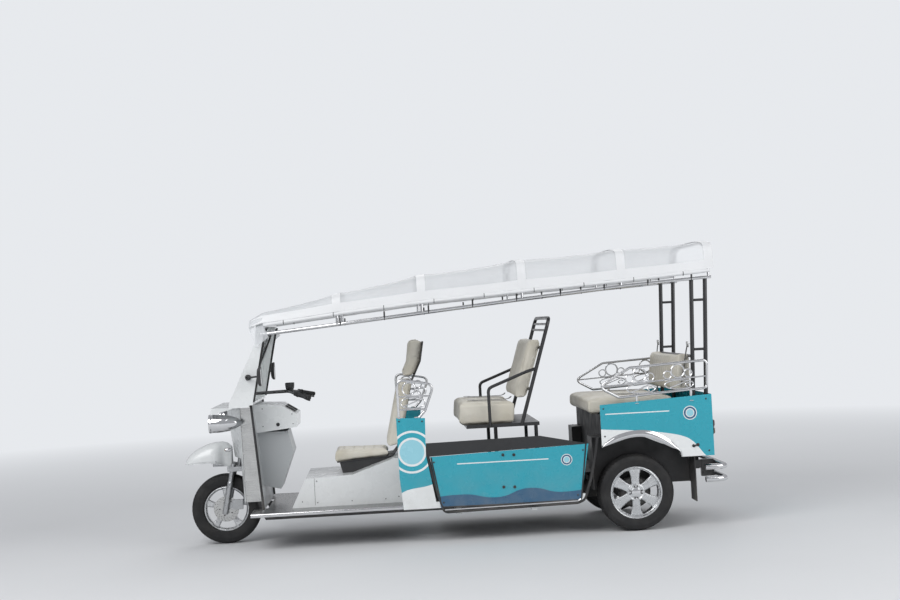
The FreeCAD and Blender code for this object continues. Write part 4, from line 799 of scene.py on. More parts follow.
def canopy():
    """One clear sheet over the hoops: it sinks between them and creases from hoop to hoop."""
    form = Form()
    rows = []
    stations = [roof_rows[0][0] + (roof_rows[-1][0] - roof_rows[0][0]) * k / 230 for k in range(231)]
    count = 72
    for x in stations:
        ring = roof_ring(x, 0.001, count)
        sink, reach = span_share(x)
        row = []
        for k, point in enumerate(ring):
            around = k / count
            top = math.sin(math.pi * around)
            slack = sink * reach * (0.012 + 0.022 * top)
            crease = math.sin(31 * around + 9.0 * x) * math.sin(17 * x + 5 * around) * 0.0032
            crease += math.sin(73 * around - 21 * x) * 0.0012
            pull = sink * abs(math.sin(5.5 * math.pi * around + 2.4 * x)) * 0.006
            inward = Vector((0, -point.y * 0.8, -0.35)).normalized()
            row.append(point + inward * (slack + pull * (1 - top * 0.6)) + Vector((0, 0, crease * sink)))
        rows.append(row)
    # the front edge folds down over the header
    first = rows[0]
    fold = []
    for reach, drop in ((-0.004, 0.010), (-0.002, 0.026), (0.004, 0.044), (0.010, 0.058)):
        row = []
        for point in first:
            waved = 1 + 0.10 * math.sin(9 * point.y) + 0.05 * math.sin(31 * point.y)
            row.append(point + Vector((reach, 0, -drop * waved)))
        fold.append(row)
    form.rows(list(reversed(fold)) + rows)
    sheet = form.piece("canopy_skin", "canopy_sheet", "chassis", ["roof_canopy"], crease=80)

    strips = Form()
    for x in hoops:
        ahead = roof_ring(x - band_half, 0.0022, count)
        behind = roof_ring(min(x + band_half, canopy_end), 0.0022, count)
        strips.rows([ahead, roof_ring(x, 0.0032, count), behind])
    for side in (0, 1):
        hem = []
        for x in stations[1:]:
            ring = roof_ring(x, 0.0026, count)
            foot, head = (ring[0], ring[3]) if side == 0 else (ring[-1], ring[-4])
            sink, reach = span_share(x)
            inward = Vector((0, -foot.y * 0.8, -0.35)).normalized() * sink * reach * 0.010
            hem.append([foot + inward * 0.6, foot.lerp(head, 0.5) + inward, head + inward])
        strips.rows(hem)
    strips.rows([roof_ring(x, 0.003, count) for x in (1.972, 1.99, canopy_end)])
    bands = strips.piece("canopy_bands", "curtain_sheet", "chassis", crease=80)


def front_flaps():
    """Clear corner flaps that fall from the roof's front edge beside the windscreen."""
    for side in (-1, 1):
        rows = []
        for step in range(15):
            t = step / 14
            x = -1.462 + 0.10 * t
            row = []
            for k in range(11):
                u = k / 10
                drop = 0.030 + (0.150 - 0.06 * t) * u
                out = 0.596 + 0.012 * t + 0.010 * math.sin(9 * t + 3 * u) * u
                row.append((x + 0.035 * u, side * out, 1.690 + 0.02 * t - drop))
            rows.append(row)
        form = Form()
        form.rows(rows)
        name = "front_flap_" + side_name(side)
        flap = form.piece(name, "canopy_sheet", "chassis", crease=80)


def roll_centre(x, side):
    """Middle of the rolled curtain at a station; ahead of the first hoop it runs in to the screen."""
    low, _, half = roof_at(x)
    if x >= hoops[0]:
        return Vector((x, side * (half - 0.002), low - roll_radius))
    t = (x - roll_start) / (hoops[0] - roll_start)
    out, up = (a + (b - a) * t for a, b in zip(roll_front, roll_joint))
    return Vector((x, side * out, up))


def curtains():
    """Side curtains rolled under the long edges of the roof and tied at intervals."""
    for side in (-1, 1):
        name = side_name(side)
        rows = []
        count = 120
        for step in range(count + 1):
            x = roll_start + (roll_end - roll_start) * step / count
            centre = roll_centre(x, side)
            if x >= hoops[0]:
                centre.z += 0.001
            tied = min(abs(math.sin(math.pi * (x - 0.10) / tie_pitch)), 0.35) / 0.35
            uneven = 1 + 0.035 * math.sin(41 * x) + 0.02 * math.sin(97 * x)
            wide = roll_radius * (0.86 + 0.14 * tied) * uneven
            ring = []
            for k in range(roll_points + 1):
                share = k / roll_points
                a = side * (2 * math.pi * roll_turns * share - 1.9)
                reach = wide * (0.25 + 0.75 * share) + 0.0004 * math.sin(3 * a + 25 * x) - 0.0003
                ring.append(centre + Vector((0, math.cos(a), math.sin(a))) * reach)
            rows.append(ring)
        form = Form()
        form.rows(rows)
        roll = form.piece("curtain_roll_" + name, "curtain_sheet", "chassis",
                          once(side, "curtain_rolls"), crease=80)
        ties = Form()
        for k in range(9):
            centre = roll_centre(tie_first + tie_pitch * k, side)
            loop = [centre + Vector((0, math.cos(a), math.sin(a))) * 0.0152 for a in turns(20)]
            ties.tube(loop, 0.0022, 8, closed=True)
        ties.piece("curtain_ties_" + name, "black_rubber", "chassis")


def roof_rails():
    """Round bright tubes of the roof: both side rails, the hoops, and clips on the rails."""
    form = Form()
    for side in (-1, 1):
        points = [(-1.409, side * 0.578, 1.610), (-1.321, side * 0.578, 1.617)]
        points += [(x + 0.045, side * rail_half_width, z + 0.002) for x, z in roof_rail]
        points[-1] = (1.999, side * rail_half_width, 1.869)
        form.tube(bent(points, 0.5), 0.012, 18)
    for (_, low, crown, half), (x, z) in zip(roof_rows[2:], roof_rail):
        rise = crown - low
        shoulder = crown - rise * 0.12 - 0.030
        top = crown - rise * 0.03 - 0.0138
        half_path = [(x, rail_half_width, z), (x, rail_half_width, low + rise * 0.45),
                     (x, half - 0.104, shoulder), (x, half - 0.284, top)]
        path = [(a, -b, c) for a, b, c in half_path] + list(reversed(half_path))
        form.tube(bent(path, 0.06), 0.0105, 16)
    form.piece("roof_tubes", "chrome_tube", "chassis", ["roof_frame"])
    clips = Form()
    for side in (-1, 1):
        for x in [clip_first + clip_pitch * k for k in range(9)]:
            for (a, za), (b, zb) in zip(roof_rail, roof_rail[1:]):
                if a <= x <= b:
                    z = za + (zb - za) * (x - a) / (b - a)
            centre = Vector((x, side * rail_half_width, z))
            clips.tube([centre + Vector((0, math.cos(a), math.sin(a))) * 0.0132 for a in turns(18)],
                       0.0035, 8, closed=True)
            y = side * 0.660
            clips.box((x - 0.006, y - 0.004, z + 0.004), (x + 0.006, y + 0.004, z + 0.045))
    clips.piece("rail_clips", "black_plastic", "chassis", bevel=0.0008)


# Padded seats


def blocked(name, outline, low, high, voxel):
    """A prism from a side outline, remade in even faces."""
    form = Form()
    form.slab(outline, low, high)
    made = bpy.data.objects.new(name, form.mesh(name))
    bpy.context.scene.collection.objects.link(made)
    remade = made.modifiers.new("even", "REMESH")
    remade.mode = "VOXEL"
    remade.voxel_size = voxel
    return baked(made)


def baked(made):
    """Applies the object's modifiers to its mesh."""
    shown = made.evaluated_get(bpy.context.evaluated_depsgraph_get())
    mesh = bpy.data.meshes.new_from_object(shown)
    made.modifiers.clear()
    earlier = made.data
    made.data = mesh
    bpy.data.meshes.remove(earlier)
    return made


def read_points(mesh, kind="co"):
    """Places of the mesh's points, or with kind "normal" their outward directions."""
    flat = numpy.empty(len(mesh.vertices) * 3)
    mesh.vertices.foreach_get(kind, flat)
    return flat.reshape(-1, 3)


def write_points(mesh, points):
    mesh.vertices.foreach_set("co", points.reshape(-1))
    mesh.update()


cloth_frames = 20
cloth_stiffness = 18
cloth_bending = 1.2


def swollen(made, pressure, cap):
    """Inflates a closed form as cloth, no point moving further than the cap."""
    rest = read_points(made.data)
    cloth = made.modifiers.new("cloth", "CLOTH")
    cloth.settings.use_pressure = True
    cloth.settings.uniform_pressure_force = pressure
    cloth.settings.tension_stiffness = cloth_stiffness
    cloth.settings.compression_stiffness = cloth_stiffness
    cloth.settings.bending_stiffness = cloth_bending
    cloth.settings.effector_weights.gravity = 0
    cloth.settings.quality = 4
    cloth.point_cache.frame_start = 1
    cloth.point_cache.frame_end = cloth_frames
    for moment in range(1, cloth_frames + 1):
        bpy.context.scene.frame_set(moment)
    shown = made.evaluated_get(bpy.context.evaluated_depsgraph_get())
    moved = read_points(shown.to_mesh())
    shown.to_mesh_clear()
    made.modifiers.clear()
    bpy.context.scene.frame_set(1)
    step = moved - rest
    length = numpy.linalg.norm(step, axis=1)
    share = numpy.minimum(1.0, cap / numpy.maximum(length, 1e-9))
    write_points(made.data, rest + step * share[:, None])
    return made


def smoothed(made, rounds):
    """Rounds off the voxel steps and splits each face once."""
    soft = made.modifiers.new("soft", "SMOOTH")
    soft.factor = 0.5
    soft.iterations = rounds
    fine = made.modifiers.new("fine", "SUBSURF")
    fine.levels = 1
    fine.render_levels = 1
    return baked(made)


def pressed(made, grooves):
    """Sinks sewn lines: each groove gives how far every point is from it, its width and depth."""
    mesh = made.data
    points = read_points(mesh)
    normals = read_points(mesh, "normal")
    sink = numpy.zeros(len(points))
    for away, wide, deep in grooves(points, normals):
        sink = numpy.maximum(sink, deep * numpy.exp(-(away / wide) ** 2))
    write_points(mesh, points - normals * sink[:, None])
    return made


def cushion(name, outline, low, high, node=None, grooves=None, inset=0.010, cap=0.016, voxel=0.008,
            pressure=4.0, rounds=6):
    """A crowned pad whose sides pull in between its corners, in the room of its solid."""
    count = len(outline)
    middle = Vector((sum(x for x, z in outline) / count, sum(z for x, z in outline) / count))
    drawn = []
    for index, (x, z) in enumerate(outline):
        here = Vector((x, z))
        before = (here - Vector(outline[index - 1])).normalized()
        after = (Vector(outline[(index + 1) % count]) - here).normalized()
        inward = Vector((-(before + after).y, (before + after).x))
        if inward.length < 0.01:
            inward = middle - here
        inward.normalize()
        if inward.dot(middle - here) < 0:
            inward = -inward
        sharp = max(0.5, abs(math.cos(before.angle(after, 0.0) / 2)))
        drawn.append((x + inward.x * inset / sharp, z + inward.y * inset / sharp))
    made = blocked(name, drawn, low + inset, high - inset, voxel)
    made = swollen(made, pressure, cap)
    made = smoothed(made, rounds)
    if grooves:
        made = pressed(made, grooves)
    mesh = made.data
    bpy.data.objects.remove(made)
    piece = settle(name, mesh, "cream_vinyl", "chassis", [node] if node else [], crease=80)
    return piece


def channels_across(pitch, low, high, faces, edge):
    """Sewn lines a pitch apart across the pad, and one line inside its outer edge."""
    def grooves(points, normals):
        y = points[:, 1]
        inside = (y > low) & (y < high)
        away = numpy.abs((y - low) / pitch - numpy.round((y - low) / pitch)) * pitch
        yield numpy.where(inside & faces(normals), away, 1.0), 0.0035, 0.0065
        rim = numpy.minimum(numpy.abs(y - (low - edge)), numpy.abs(y - (high + edge)))
        yield numpy.where(faces(normals), rim, 1.0), 0.0035, 0.004
    return grooves


def seat_faces(normals):
    return (normals[:, 2] > 0.35) | (normals[:, 0] < -0.5)


def back_faces(normals):
    return normals[:, 0] < -0.35


def middle_back_line(z):
    """How far back the rear face of the middle seat's back stands at a height."""
    return front_axle + 2.2807 + back_slope * (z - 0.846)


def rear_back_line(z):
    """How far back the rear face of the bench's back stands at a height, along the rear posts."""
    return rear_axle + 0.4567 + post_lean * (z - 0.956)


def seats():
    """Driver's seat, middle seat and rear bench."""
    x = front_axle

    def pan_lines(points, normals):
        up = normals[:, 2] > 0.4
        yield numpy.where(up, numpy.abs(numpy.abs(points[:, 1]) - 0.150), 1.0), 0.004, 0.007
        for station in (x + 0.930, x + 1.010, x + 1.090, x + 1.170):
            line = up & (numpy.abs(points[:, 1]) < 0.150)
            yield numpy.where(line, numpy.abs(points[:, 0] - station), 1.0), 0.0045, 0.006

    cushion("driver_cushion", [
        (x + 0.842, 0.600), (x + 0.880, 0.5995), (x + 1.305, 0.628), (x + 1.290, 0.674), (x + 0.850, 0.682),
    ], -0.230, 0.230, "driver_seat_cushion", pan_lines, inset=0.008)

    def back_lines(points, normals):
        front = normals[:, 0] < -0.4
        yield numpy.where(front, numpy.abs(numpy.abs(points[:, 1]) - 0.145), 1.0), 0.004, 0.007
        for level in (0.80, 0.89, 0.98, 1.07):
            line = front & (numpy.abs(points[:, 1]) < 0.145)
            yield numpy.where(line, numpy.abs(points[:, 2] - level), 1.0), 0.0045, 0.006

    cushion("driver_back", [
        (x + 1.262, 0.673), (x + 1.366, 0.690), (x + 1.480, 1.181), (x + 1.500, 1.220), (x + 1.400, 1.220),
        (x + 1.379, 1.181),
    ], -0.230, 0.230, "driver_seat_back", back_lines, inset=0.009)

    def head_lines(points, normals):
        front = normals[:, 0] < -0.4
        yield numpy.where(front, numpy.abs(numpy.abs(points[:, 1]) - 0.075), 1.0), 0.004, 0.005

    cushion("driver_headrest", [
        (x + 1.402, 1.222), (x + 1.500, 1.222), (x + 1.558, 1.340), (x + 1.588, 1.503), (x + 1.482, 1.524),
        (x + 1.457, 1.340),
    ], -0.140, 0.140, None, head_lines, inset=0.009, cap=0.014)

    top = channels_across(0.0668, -0.4343, 0.4343, seat_faces, 0.028)
    cushion("middle_cushion", [
        (x + 1.803, 0.860), (x + 1.830, 0.8445), (x + 2.262, 0.8445), (x + 2.270, 1.000), (x + 1.815, 1.006),
    ], -0.480, 0.480, "middle_seat_cushion", top, voxel=0.0095, cap=0.018)

    front = channels_across(0.0668, -0.4008, 0.4008, back_faces, 0.030)
    foot = middle_back_line(1.008)
    head = middle_back_line(1.485)
    cushion("middle_back", [
        (foot - 0.090, 1.008), (foot, 1.008), (head, 1.485), (head - 0.086, 1.485),
    ], -0.460, 0.460, "middle_seat_back", front, voxel=0.0095, cap=0.018)

    r = rear_axle
    bench = channels_across(0.0822, -0.5343, 0.5343, seat_faces, 0.026)
    cushion("rear_cushion", [
        (r - 0.343, 0.920), (r - 0.330, 0.8805), (r + 0.340, 0.8805), (r + 0.340, 0.992), (r - 0.336, 0.996),
    ], -0.578, 0.578, "rear_seat_cushion", bench, voxel=0.0115, inset=0.009, cap=0.016)

    foot = rear_back_line(0.994)
    head = rear_back_line(1.313)
    rest = channels_across(0.0822, -0.5343, 0.5343, back_faces, 0.026)
    cushion("rear_back", [
        (foot - 0.120, 0.994), (foot, 0.994), (head, 1.313), (head - 0.096, 1.313),
    ], -0.578, 0.578, "rear_seat_back", rest, voxel=0.0115, cap=0.018)


# Bright rails

rail_half = 0.687
rail_tube = 0.010
rail_bar = 0.006
ring_tube = 0.005
oval_tube = 0.0048
curl_tube = 0.0045


def ring_path(x, y, z, radius, count=40, wide=1.0):
    """A ring in the rail's plane; wide stretches it along the vehicle."""
    return [Vector((x + radius * wide * math.cos(a), y, z + radius * math.sin(a)))
            for a in turns(count)]


class Line:
    """A straight bar seen from the side."""

    def __init__(self, x0, z0, x1, z1, radius):
        self.ends = (x0, z0, x1, z1)
        self.radius = radius

    def at(self, x):
        x0, z0, x1, z1 = self.ends
        return z0 + (z1 - z0) * (x - x0) / (x1 - x0)

    def path(self, y):
        x0, z0, x1, z1 = self.ends
        return [(x0, y, z0), ((x0 + x1) / 2, y, (z0 + z1) / 2), (x1, y, z1)]


def ring_among(form, x, y, lower, upper, tube):
    """A ring that fills the gap between two bars."""
    low = lower.at(x) + lower.radius - 0.001
    high = upper.at(x) - upper.radius + 0.001
    form.tube(ring_path(x, y, (low + high) / 2, (high - low) / 2 - tube * 0.6), tube, 10, closed=True)


def rails(side):
    """Polished rails: the hoop on the front quarter and the pointed one on the rear body."""
    y = side * rail_half
    name = side_name(side)
    form = Form()
    x = front_axle
    hoop = [
        (x + 1.370, 0.918), (x + 1.366, 1.226), (x + 1.640, 1.176), (x + 1.564, 0.984), (x + 1.500, 0.918),
    ]
    form.tube(bent([(a, y, b) for a, b in hoop], 0.05), rail_tube, 16)
    top = Line(x + 1.366, 1.226, x + 1.640, 1.176, rail_tube)
    middle = Line(x + 1.369, 1.096, x + 1.606, 1.093, rail_bar)
    low = Line(x + 1.370, 1.000, x + 1.571, 0.997, rail_bar)
    for bar in (middle, low):
        form.tube(bar.path(y), rail_bar, 12)
    ring_among(form, x + 1.452, y, middle, top, 0.0055)
    form.tube(ring_path(x + 1.550, y, middle.at(x + 1.550) + 0.036, 0.030, 30), ring_tube, 10, closed=True)
    form.tube(ring_path(x + 1.478, y, 1.046, 0.041, 44, 2.2), oval_tube, 10, closed=True)
    form.tube([(x + 1.400, y, 1.020), (x + 1.470, y, 1.046), (x + 1.548, y, 1.072)], curl_tube, 10)
    r = rear_axle
    corners = [
        (r - 0.101, 1.003), (r - 0.252, 1.088), (r - 0.010, 1.220), (r + 0.572, 1.249), (r + 0.562, 1.042),
    ]
    sill = Line(*corners[0], *corners[4], rail_tube)
    path = [(r - 0.040, sill.at(r - 0.040))] + corners + [(r + 0.510, sill.at(r + 0.510))]
    form.tube(bent([(a, y, b) for a, b in path], 0.035), rail_tube, 16)
    low = Line(r - 0.040, sill.at(r - 0.040), r + 0.510, sill.at(r + 0.510), rail_tube)
    form.tube(low.path(y), rail_tube, 16)
    top = Line(r - 0.010, 1.220, r + 0.572, 1.249, rail_tube)
    middle = Line(r - 0.224, 1.090, r + 0.566, 1.130, rail_bar)
    form.tube(middle.path(y), rail_bar, 12)
    for centre in (r + 0.062, r + 0.349):
        ring_among(form, centre, y, middle, top, 0.0058)
        for away in (-0.078, 0.078):
            z = middle.at(centre + away) + rail_bar + 0.030
            form.tube(ring_path(centre + away, y, z, 0.0285, 30), ring_tube, 10, closed=True)
        under = low.at(centre) + rail_tube
        over = middle.at(centre) - rail_bar
        z = (under + over) / 2
        tall = (over - under) / 2 - 0.003
        form.tube(ring_path(centre + 0.006, y, z, tall, 48, 0.108 / tall), oval_tube, 10, closed=True)
        slant = [(-0.070, -0.72), (0.0, 0.0), (0.075, 0.78)]
        form.tube([(centre + a, y, z + tall * b) for a, b in slant], curl_tube, 10)
        curl = [(0.068, -0.55), (0.052, -0.1), (0.074, 0.30), (0.094, 0.05)]
        form.tube(curved([(centre + a, y, z + tall * b) for a, b in curl], 6), curl_tube, 10)
    for reach in (0.030, 0.440):
        form.tube([(r + reach, y, z) for z in (0.930, 0.98, low.at(r + reach))], 0.0097, 16)
        form.lathe([(0, 0.020), (0.003, 0.020), (0.004, 0.017), (0.010, 0.012)], (r + reach, y, 0.951),
                   (0, 0, 1), 24)
    for foot_x in (x + 1.370, x + 1.500):
        form.lathe([(0, 0.018), (0.003, 0.018), (0.008, 0.012)], (foot_x, y, 0.936), (0, 0, 1), 24)
    form.piece("rails_" + name, "chrome_tube", "chassis", once(side, "side_rails"))


bumper_levels = (0.446, 0.355)
bumper_half = 0.640
bumper_end = 1.881
bumper_back = 2.039


def bumper():
    """Two round tubes bent about the tail, with capped ends, on two plates."""
    form = Form()
    for level in bumper_levels:
        path = [(bumper_end, -bumper_half, level), (bumper_back, -bumper_half, level),
                (bumper_back, bumper_half, level), (bumper_end, bumper_half, level)]
        form.tube(bent(path, 0.075, steps=10), 0.022, 24)
    form.piece("bumper_tubes", "chrome_tube", "chassis", ["rear_bumper"])
    plates = Form()
    for side in (-1, 1):
        plates.box((1.923, side * 0.280 - 0.020, 0.340), (2.022, side * 0.280 + 0.020, 0.470))
    plates.piece("bumper_plates", "frame_black", "chassis", bevel=0.003)
    caps = Form()
    for side in (-1, 1):
        for level in bumper_levels:
            caps.lathe([(0.004, 0.0), (0.0035, 0.014), (0.001, 0.0215), (-0.008, 0.0218)],
                       (bumper_end, side * bumper_half, level), (-1, 0, 0), 24)
    caps.piece("bumper_caps", "black_plastic", "chassis")


# Wheels

front_seat = 0.172
front_rim_half = 0.052
front_tyre_half = 0.065
rear_seat = 0.190
rear_rim_half = 0.070
rear_tyre_half = 0.082
tread_depth = 0.0065
tread_blocks = 54
lug_circle = 0.046


def tread_sink(around, across, half):
    """Depth of the tread pattern at a turn and a place across the tyre, from 0 to 1."""
    lines = [0.0, 0.34, -0.34]
    groove = max(math.exp(-((across / half - line) / 0.055) ** 4) for line in lines)
    phase = around * tread_blocks / (2 * math.pi) + 0.35 * math.copysign(1, across) + 1.5 * abs(across) / half
    sipe = math.exp(-((phase - round(phase)) / 0.11) ** 4)
    outer = 1.0 if abs(across) / half > 0.42 else 0.55
    return max(groove, sipe * outer)


def round_spot(centre, reach, angle, across=0.0):
    """A place on a wheel, at a reach and an angle about its centre."""
    return centre[0] + reach * math.cos(angle), centre[1] + across, centre[2] + reach * math.sin(angle)


def road_tyre(name, centre, radius, seat, half, body):
    """Tyre with round shoulders, bulged walls, a bead ring and a cut tread."""
    wall = [
        (half * 0.70, seat - 0.001), (half * 0.80, seat + 0.004), (half * 0.90, seat + 0.010),
        (half * 0.925, seat + 0.014), (half * 0.93, seat + 0.017), (half * 0.965, seat + 0.026),
        (half * 1.0, seat + (radius - seat) * 0.45), (half * 1.01, seat + (radius - seat) * 0.52),
        (half * 1.022, seat + (radius - seat) * 0.56), (half * 1.018, seat + (radius - seat) * 0.60),
        (half * 0.985, radius - 0.026), (half * 0.955, radius - 0.016),
    ]
    tread = [(half * (0.90 - 0.05 * k), None) for k in range(37)]
    outline = wall + tread + [(-u, v) for u, v in reversed(wall)]
    rows = []
    for angle in turns(6 * tread_blocks):
        row = []
        for across, reach in outline:
            if reach is None:
                share = abs(across) / (half * 0.90)
                reach = radius - 0.0105 * share ** 4 - tread_depth * tread_sink(angle, across, half)
            row.append(round_spot(centre, reach, angle, across))
        rows.append(row)
    form = Form()
    form.rows(rows, close_along=True, close_across=True)
    form.piece(name + "_tread", "tyre", body, [name], crease=35)


def barrel(form, centre, seat, half, outward, lip=0.010):
    """Rim barrel with a drop centre and rolled lips."""
    outline = [
        (half * 0.96, seat + 0.006), (half + 0.002, seat + 0.009), (half + 0.004, seat + lip),
        (half + 0.001, seat + lip + 0.001), (half - 0.003, seat + lip - 0.001), (half - 0.006, seat),
        (half - 0.004, seat - 0.008), (half - 0.018, seat - 0.011), (half - 0.026, seat - 0.019),
        (-half + 0.022, seat - 0.016), (-half, seat - 0.004), (-half - 0.003, seat + lip),
        (-half + 0.004, seat + lip), (-half + 0.006, seat),
    ]
    axis = (0, outward, 0)
    form.lathe(outline, centre, axis, 96)


def blade(form, centre, angle, sections, outward):
    """A cast spoke: sections give reach, half width, outer face and depth."""
    along = Vector((math.cos(angle), 0, math.sin(angle)))
    side = Vector((-math.sin(angle), 0, math.cos(angle)))
    out = Vector((0, outward, 0))
    rows = []
    for reach, wide, face, depth in sections:
        base = Vector(centre) + along * reach
        rows.append([
            base + side * wide + out * (face - depth), base + side * (wide + 0.002) + out * (face - 0.006),
            base + side * (wide - 0.004) + out * face, base + out * (face + 0.0025),
            base - side * (wide - 0.004) + out * face, base - side * (wide + 0.002) + out * (face - 0.006),
            base - side * wide + out * (face - depth),
        ])
    form.rows(rows, close_across=True, cap=True)


def hex_head(form, centre, axis, radius, height):
    """A six sided bolt head on its flange."""
    form.lathe([(0, radius * 1.25), (0.002, radius * 1.25), (0.002, radius), (height, radius * 0.98),
                (height + 0.001, radius * 0.8), (height + 0.001, 0.0001)], centre, axis, 6)


def rear_rim(side):
    """Six spoke cast wheel with four lug bolts, a plain cap and its valve, its drum and its tyre; the black
    cups round the bolts and the black drum are painted shade.
    """
    name = side_name(side)
    body = "rear_wheel_" + name
    centre = (rear_axle, side * rear_track, rear_radius)
    form = Form()
    barrel(form, centre, rear_seat, rear_rim_half, side)
    for k in range(6):
        angle = math.radians(90 + 60 * k)
        blade(form, centre, angle, [
            (0.030, 0.030, 0.038, 0.024), (0.062, 0.027, 0.041, 0.022), (0.100, 0.029, 0.040, 0.021),
            (0.140, 0.036, 0.037, 0.021), (0.166, 0.044, 0.036, 0.022), (0.186, 0.056, 0.037, 0.024),
        ], side)
    form.lathe([
        (0.012, 0.0001), (0.012, 0.070), (0.036, 0.070), (0.043, 0.064), (0.045, 0.056), (0.041, 0.051),
        (0.040, 0.036), (0.047, 0.034), (0.047, 0.0001),
    ], centre, (0, side, 0), 64)
    form.piece("rear_rim_" + name + "_cast", "alloy", body, ["rear_rim_" + name], bevel=0.0012)
    extras = Form()
    # Black cups round the lug bolts are painted shade of the recessed lug holes.
    lug_hole_shade = Form()
    for k in range(4):
        angle = math.radians(90 * k)
        spot = round_spot(centre, lug_circle, angle, side * 0.0405)
        lug_hole_shade.lathe([(0.0, 0.0160), (0.0020, 0.0160), (0.0026, 0.0145), (0.0010, 0.0135), (0.0008, 0.0001)],
                    spot, (0, side, 0), 28)
        hex_head(extras, spot, (0, side, 0), 0.0062, 0.0060)
    lug_hole_shade.piece("rear_rim_" + name + "_wells", "black_plastic", body)
    extras.lathe([(0.046, 0.030), (0.049, 0.0295), (0.050, 0.026), (0.0505, 0.0001)],
                 centre, (0, side, 0), 40)
    valve = (centre[0] + 0.168, centre[1] + side * 0.030, centre[2] + 0.028)
    extras.lathe([(0, 0.004), (0.022, 0.0035), (0.024, 0.0045), (0.034, 0.0045), (0.035, 0.0001)],
                 valve, (0, side, 0), 12)
    extras.piece("rear_rim_" + name + "_bolts", "chrome_tube", body)
    # The drum is a real part, made black so that it also stands in for the shade inside the wheel.
    drum = Form()
    drum.lathe([(-0.070, 0.118), (-0.020, 0.120), (-0.006, 0.112), (0.006, 0.090), (0.010, 0.0001)],
               centre, (0, side, 0), 64)
    for angle in turns(16):
        blade(drum, centre, angle, [(0.070, 0.003, 0.012, 0.010), (0.116, 0.003, -0.004, 0.014)], side)
    drum.piece("rear_drum_and_shade_" + name, "axle_steel", body, bevel=0.0008)
    road_tyre("rear_tyre_" + name, centre, rear_radius, rear_seat, rear_tyre_half, body)


def front_rim():
    """Five spoke cast wheel with its brake disc, its drilled holes painted as dark spots of shade, and its
    tyre.
    """
    centre = (front_axle, 0, front_radius)
    form = Form()
    barrel(form, centre, front_seat, front_rim_half, -1, 0.009)
    for k in range(5):
        blade(form, centre, math.radians(90 + 72 * k), [
            (0.022, 0.019, 0.018, 0.030), (0.060, 0.017, 0.016, 0.024), (0.100, 0.019, 0.020, 0.022),
            (front_seat - 0.030, 0.025, 0.026, 0.022), (front_seat - 0.006, 0.040, 0.028, 0.024),
        ], -1)
    form.lathe([
        (-0.042, 0.013), (-0.042, 0.028), (-0.030, 0.036), (0.030, 0.036), (0.040, 0.029), (0.040, 0.013),
    ], centre, (0, -1, 0), 48)
    form.piece("front_rim_cast", "alloy", "front_wheel", ["front_rim"], bevel=0.0012)
    disc_form = Form()
    rows = []
    holes = 20
    for face in (0.0625, 0.0575):
        rows.append([
            [round_spot(centre, reach, a, -face) for a in turns(holes * 12)]
            for reach in (0.062, 0.068, 0.074, 0.082, 0.090, 0.098)
        ])
    skins = rows[0] + list(reversed(rows[1]))
    disc_form.rows(skins, close_across=True, close_along=True)
    disc_form.lathe([
        (0.040, 0.016), (0.040, 0.034), (0.057, 0.040), (0.057, 0.064), (0.061, 0.064), (0.061, 0.036),
        (0.062, 0.016),
    ], centre, (0, -1, 0), 40)
    disc_form.piece("front_disc", "bright_steel", "front_wheel")
    marks = Form()
    # The drilled holes are not cut: small black discs on the face paint their shade.
    for k in range(holes):
        for reach, turn in ((0.070, 0.0), (0.080, 0.10), (0.091, 0.20)):
            angle = 2 * math.pi * k / holes + turn
            spot = round_spot(centre, reach, angle, -0.0627)
            marks.lathe([(0.0, 0.0030), (0.0002, 0.0028), (0.0003, 0.0001)], spot, (0, -1, 0), 10)
    for k in range(5):
        angle = 2 * math.pi * (k + 0.5) / 5
        spot = round_spot(centre, 0.052, angle, -0.0612)
        hex_head(marks, spot, (0, -1, 0), 0.005, 0.004)
    marks.piece("front_disc_hole_shade_and_bolts", "axle_steel", "front_wheel")
    road_tyre("front_tyre", centre, front_radius, front_seat, front_tyre_half, "front_wheel")


# Front end

nose_half = 0.300
lamp_half = 0.372
lamp_height = 0.953
lamp_radius = 0.069
glass_face = -0.0585
glass_bulge = 0.010


def mudguard():
    """Rounded sheet guard, wide in the middle and drawn to a lip in front, rolled along its edge."""
    form = Form()
    stations = [
        # reach from the axle, half width, edge height, crown
        (-0.300, 0.040, 0.634, 0.640), (-0.288, 0.078, 0.632, 0.668), (-0.262, 0.104, 0.632, 0.698),
        (-0.225, 0.116, 0.634, 0.728), (-0.180, 0.121, 0.637, 0.752), (-0.130, 0.122, 0.638, 0.771),
        (-0.085, 0.121, 0.634, 0.782), (-0.045, 0.108, 0.626, 0.787), (-0.006, 0.070, 0.614, 0.786),
        (0.030, 0.060, 0.598, 0.774), (0.058, 0.056, 0.584, 0.748),
    ]
    rows = []
    for reach, half, edge, crown in stations:
        row = []
        for k in range(33):
            a = math.pi * k / 32
            y = -math.cos(a)
            rise = (1 - abs(y) ** 3.2) ** (1 / 2.2)
            row.append((front_axle + reach, y * half, edge + (crown - edge) * rise))
        rows.append(row)
    fine = [curved(list(line), 6) for line in zip(*rows)]
    grid = [list(line) for line in zip(*fine)]
    form.rows(grid)
    piece = form.piece("guard_skin", "white_paint", "steering", ["front_mudguard"], crease=70)
    thick = piece.modifiers.new("sheet", "SOLIDIFY")
    thick.thickness = 0.0025
    thick.offset = 1
    edge = Form()
    loop = [line[0] for line in reversed(grid[1:])] + grid[0] + [line[-1] for line in grid[1:]]
    edge.tube(loop, 0.003, 10)
    edge.piece("guard_lip", "white_paint", "steering")


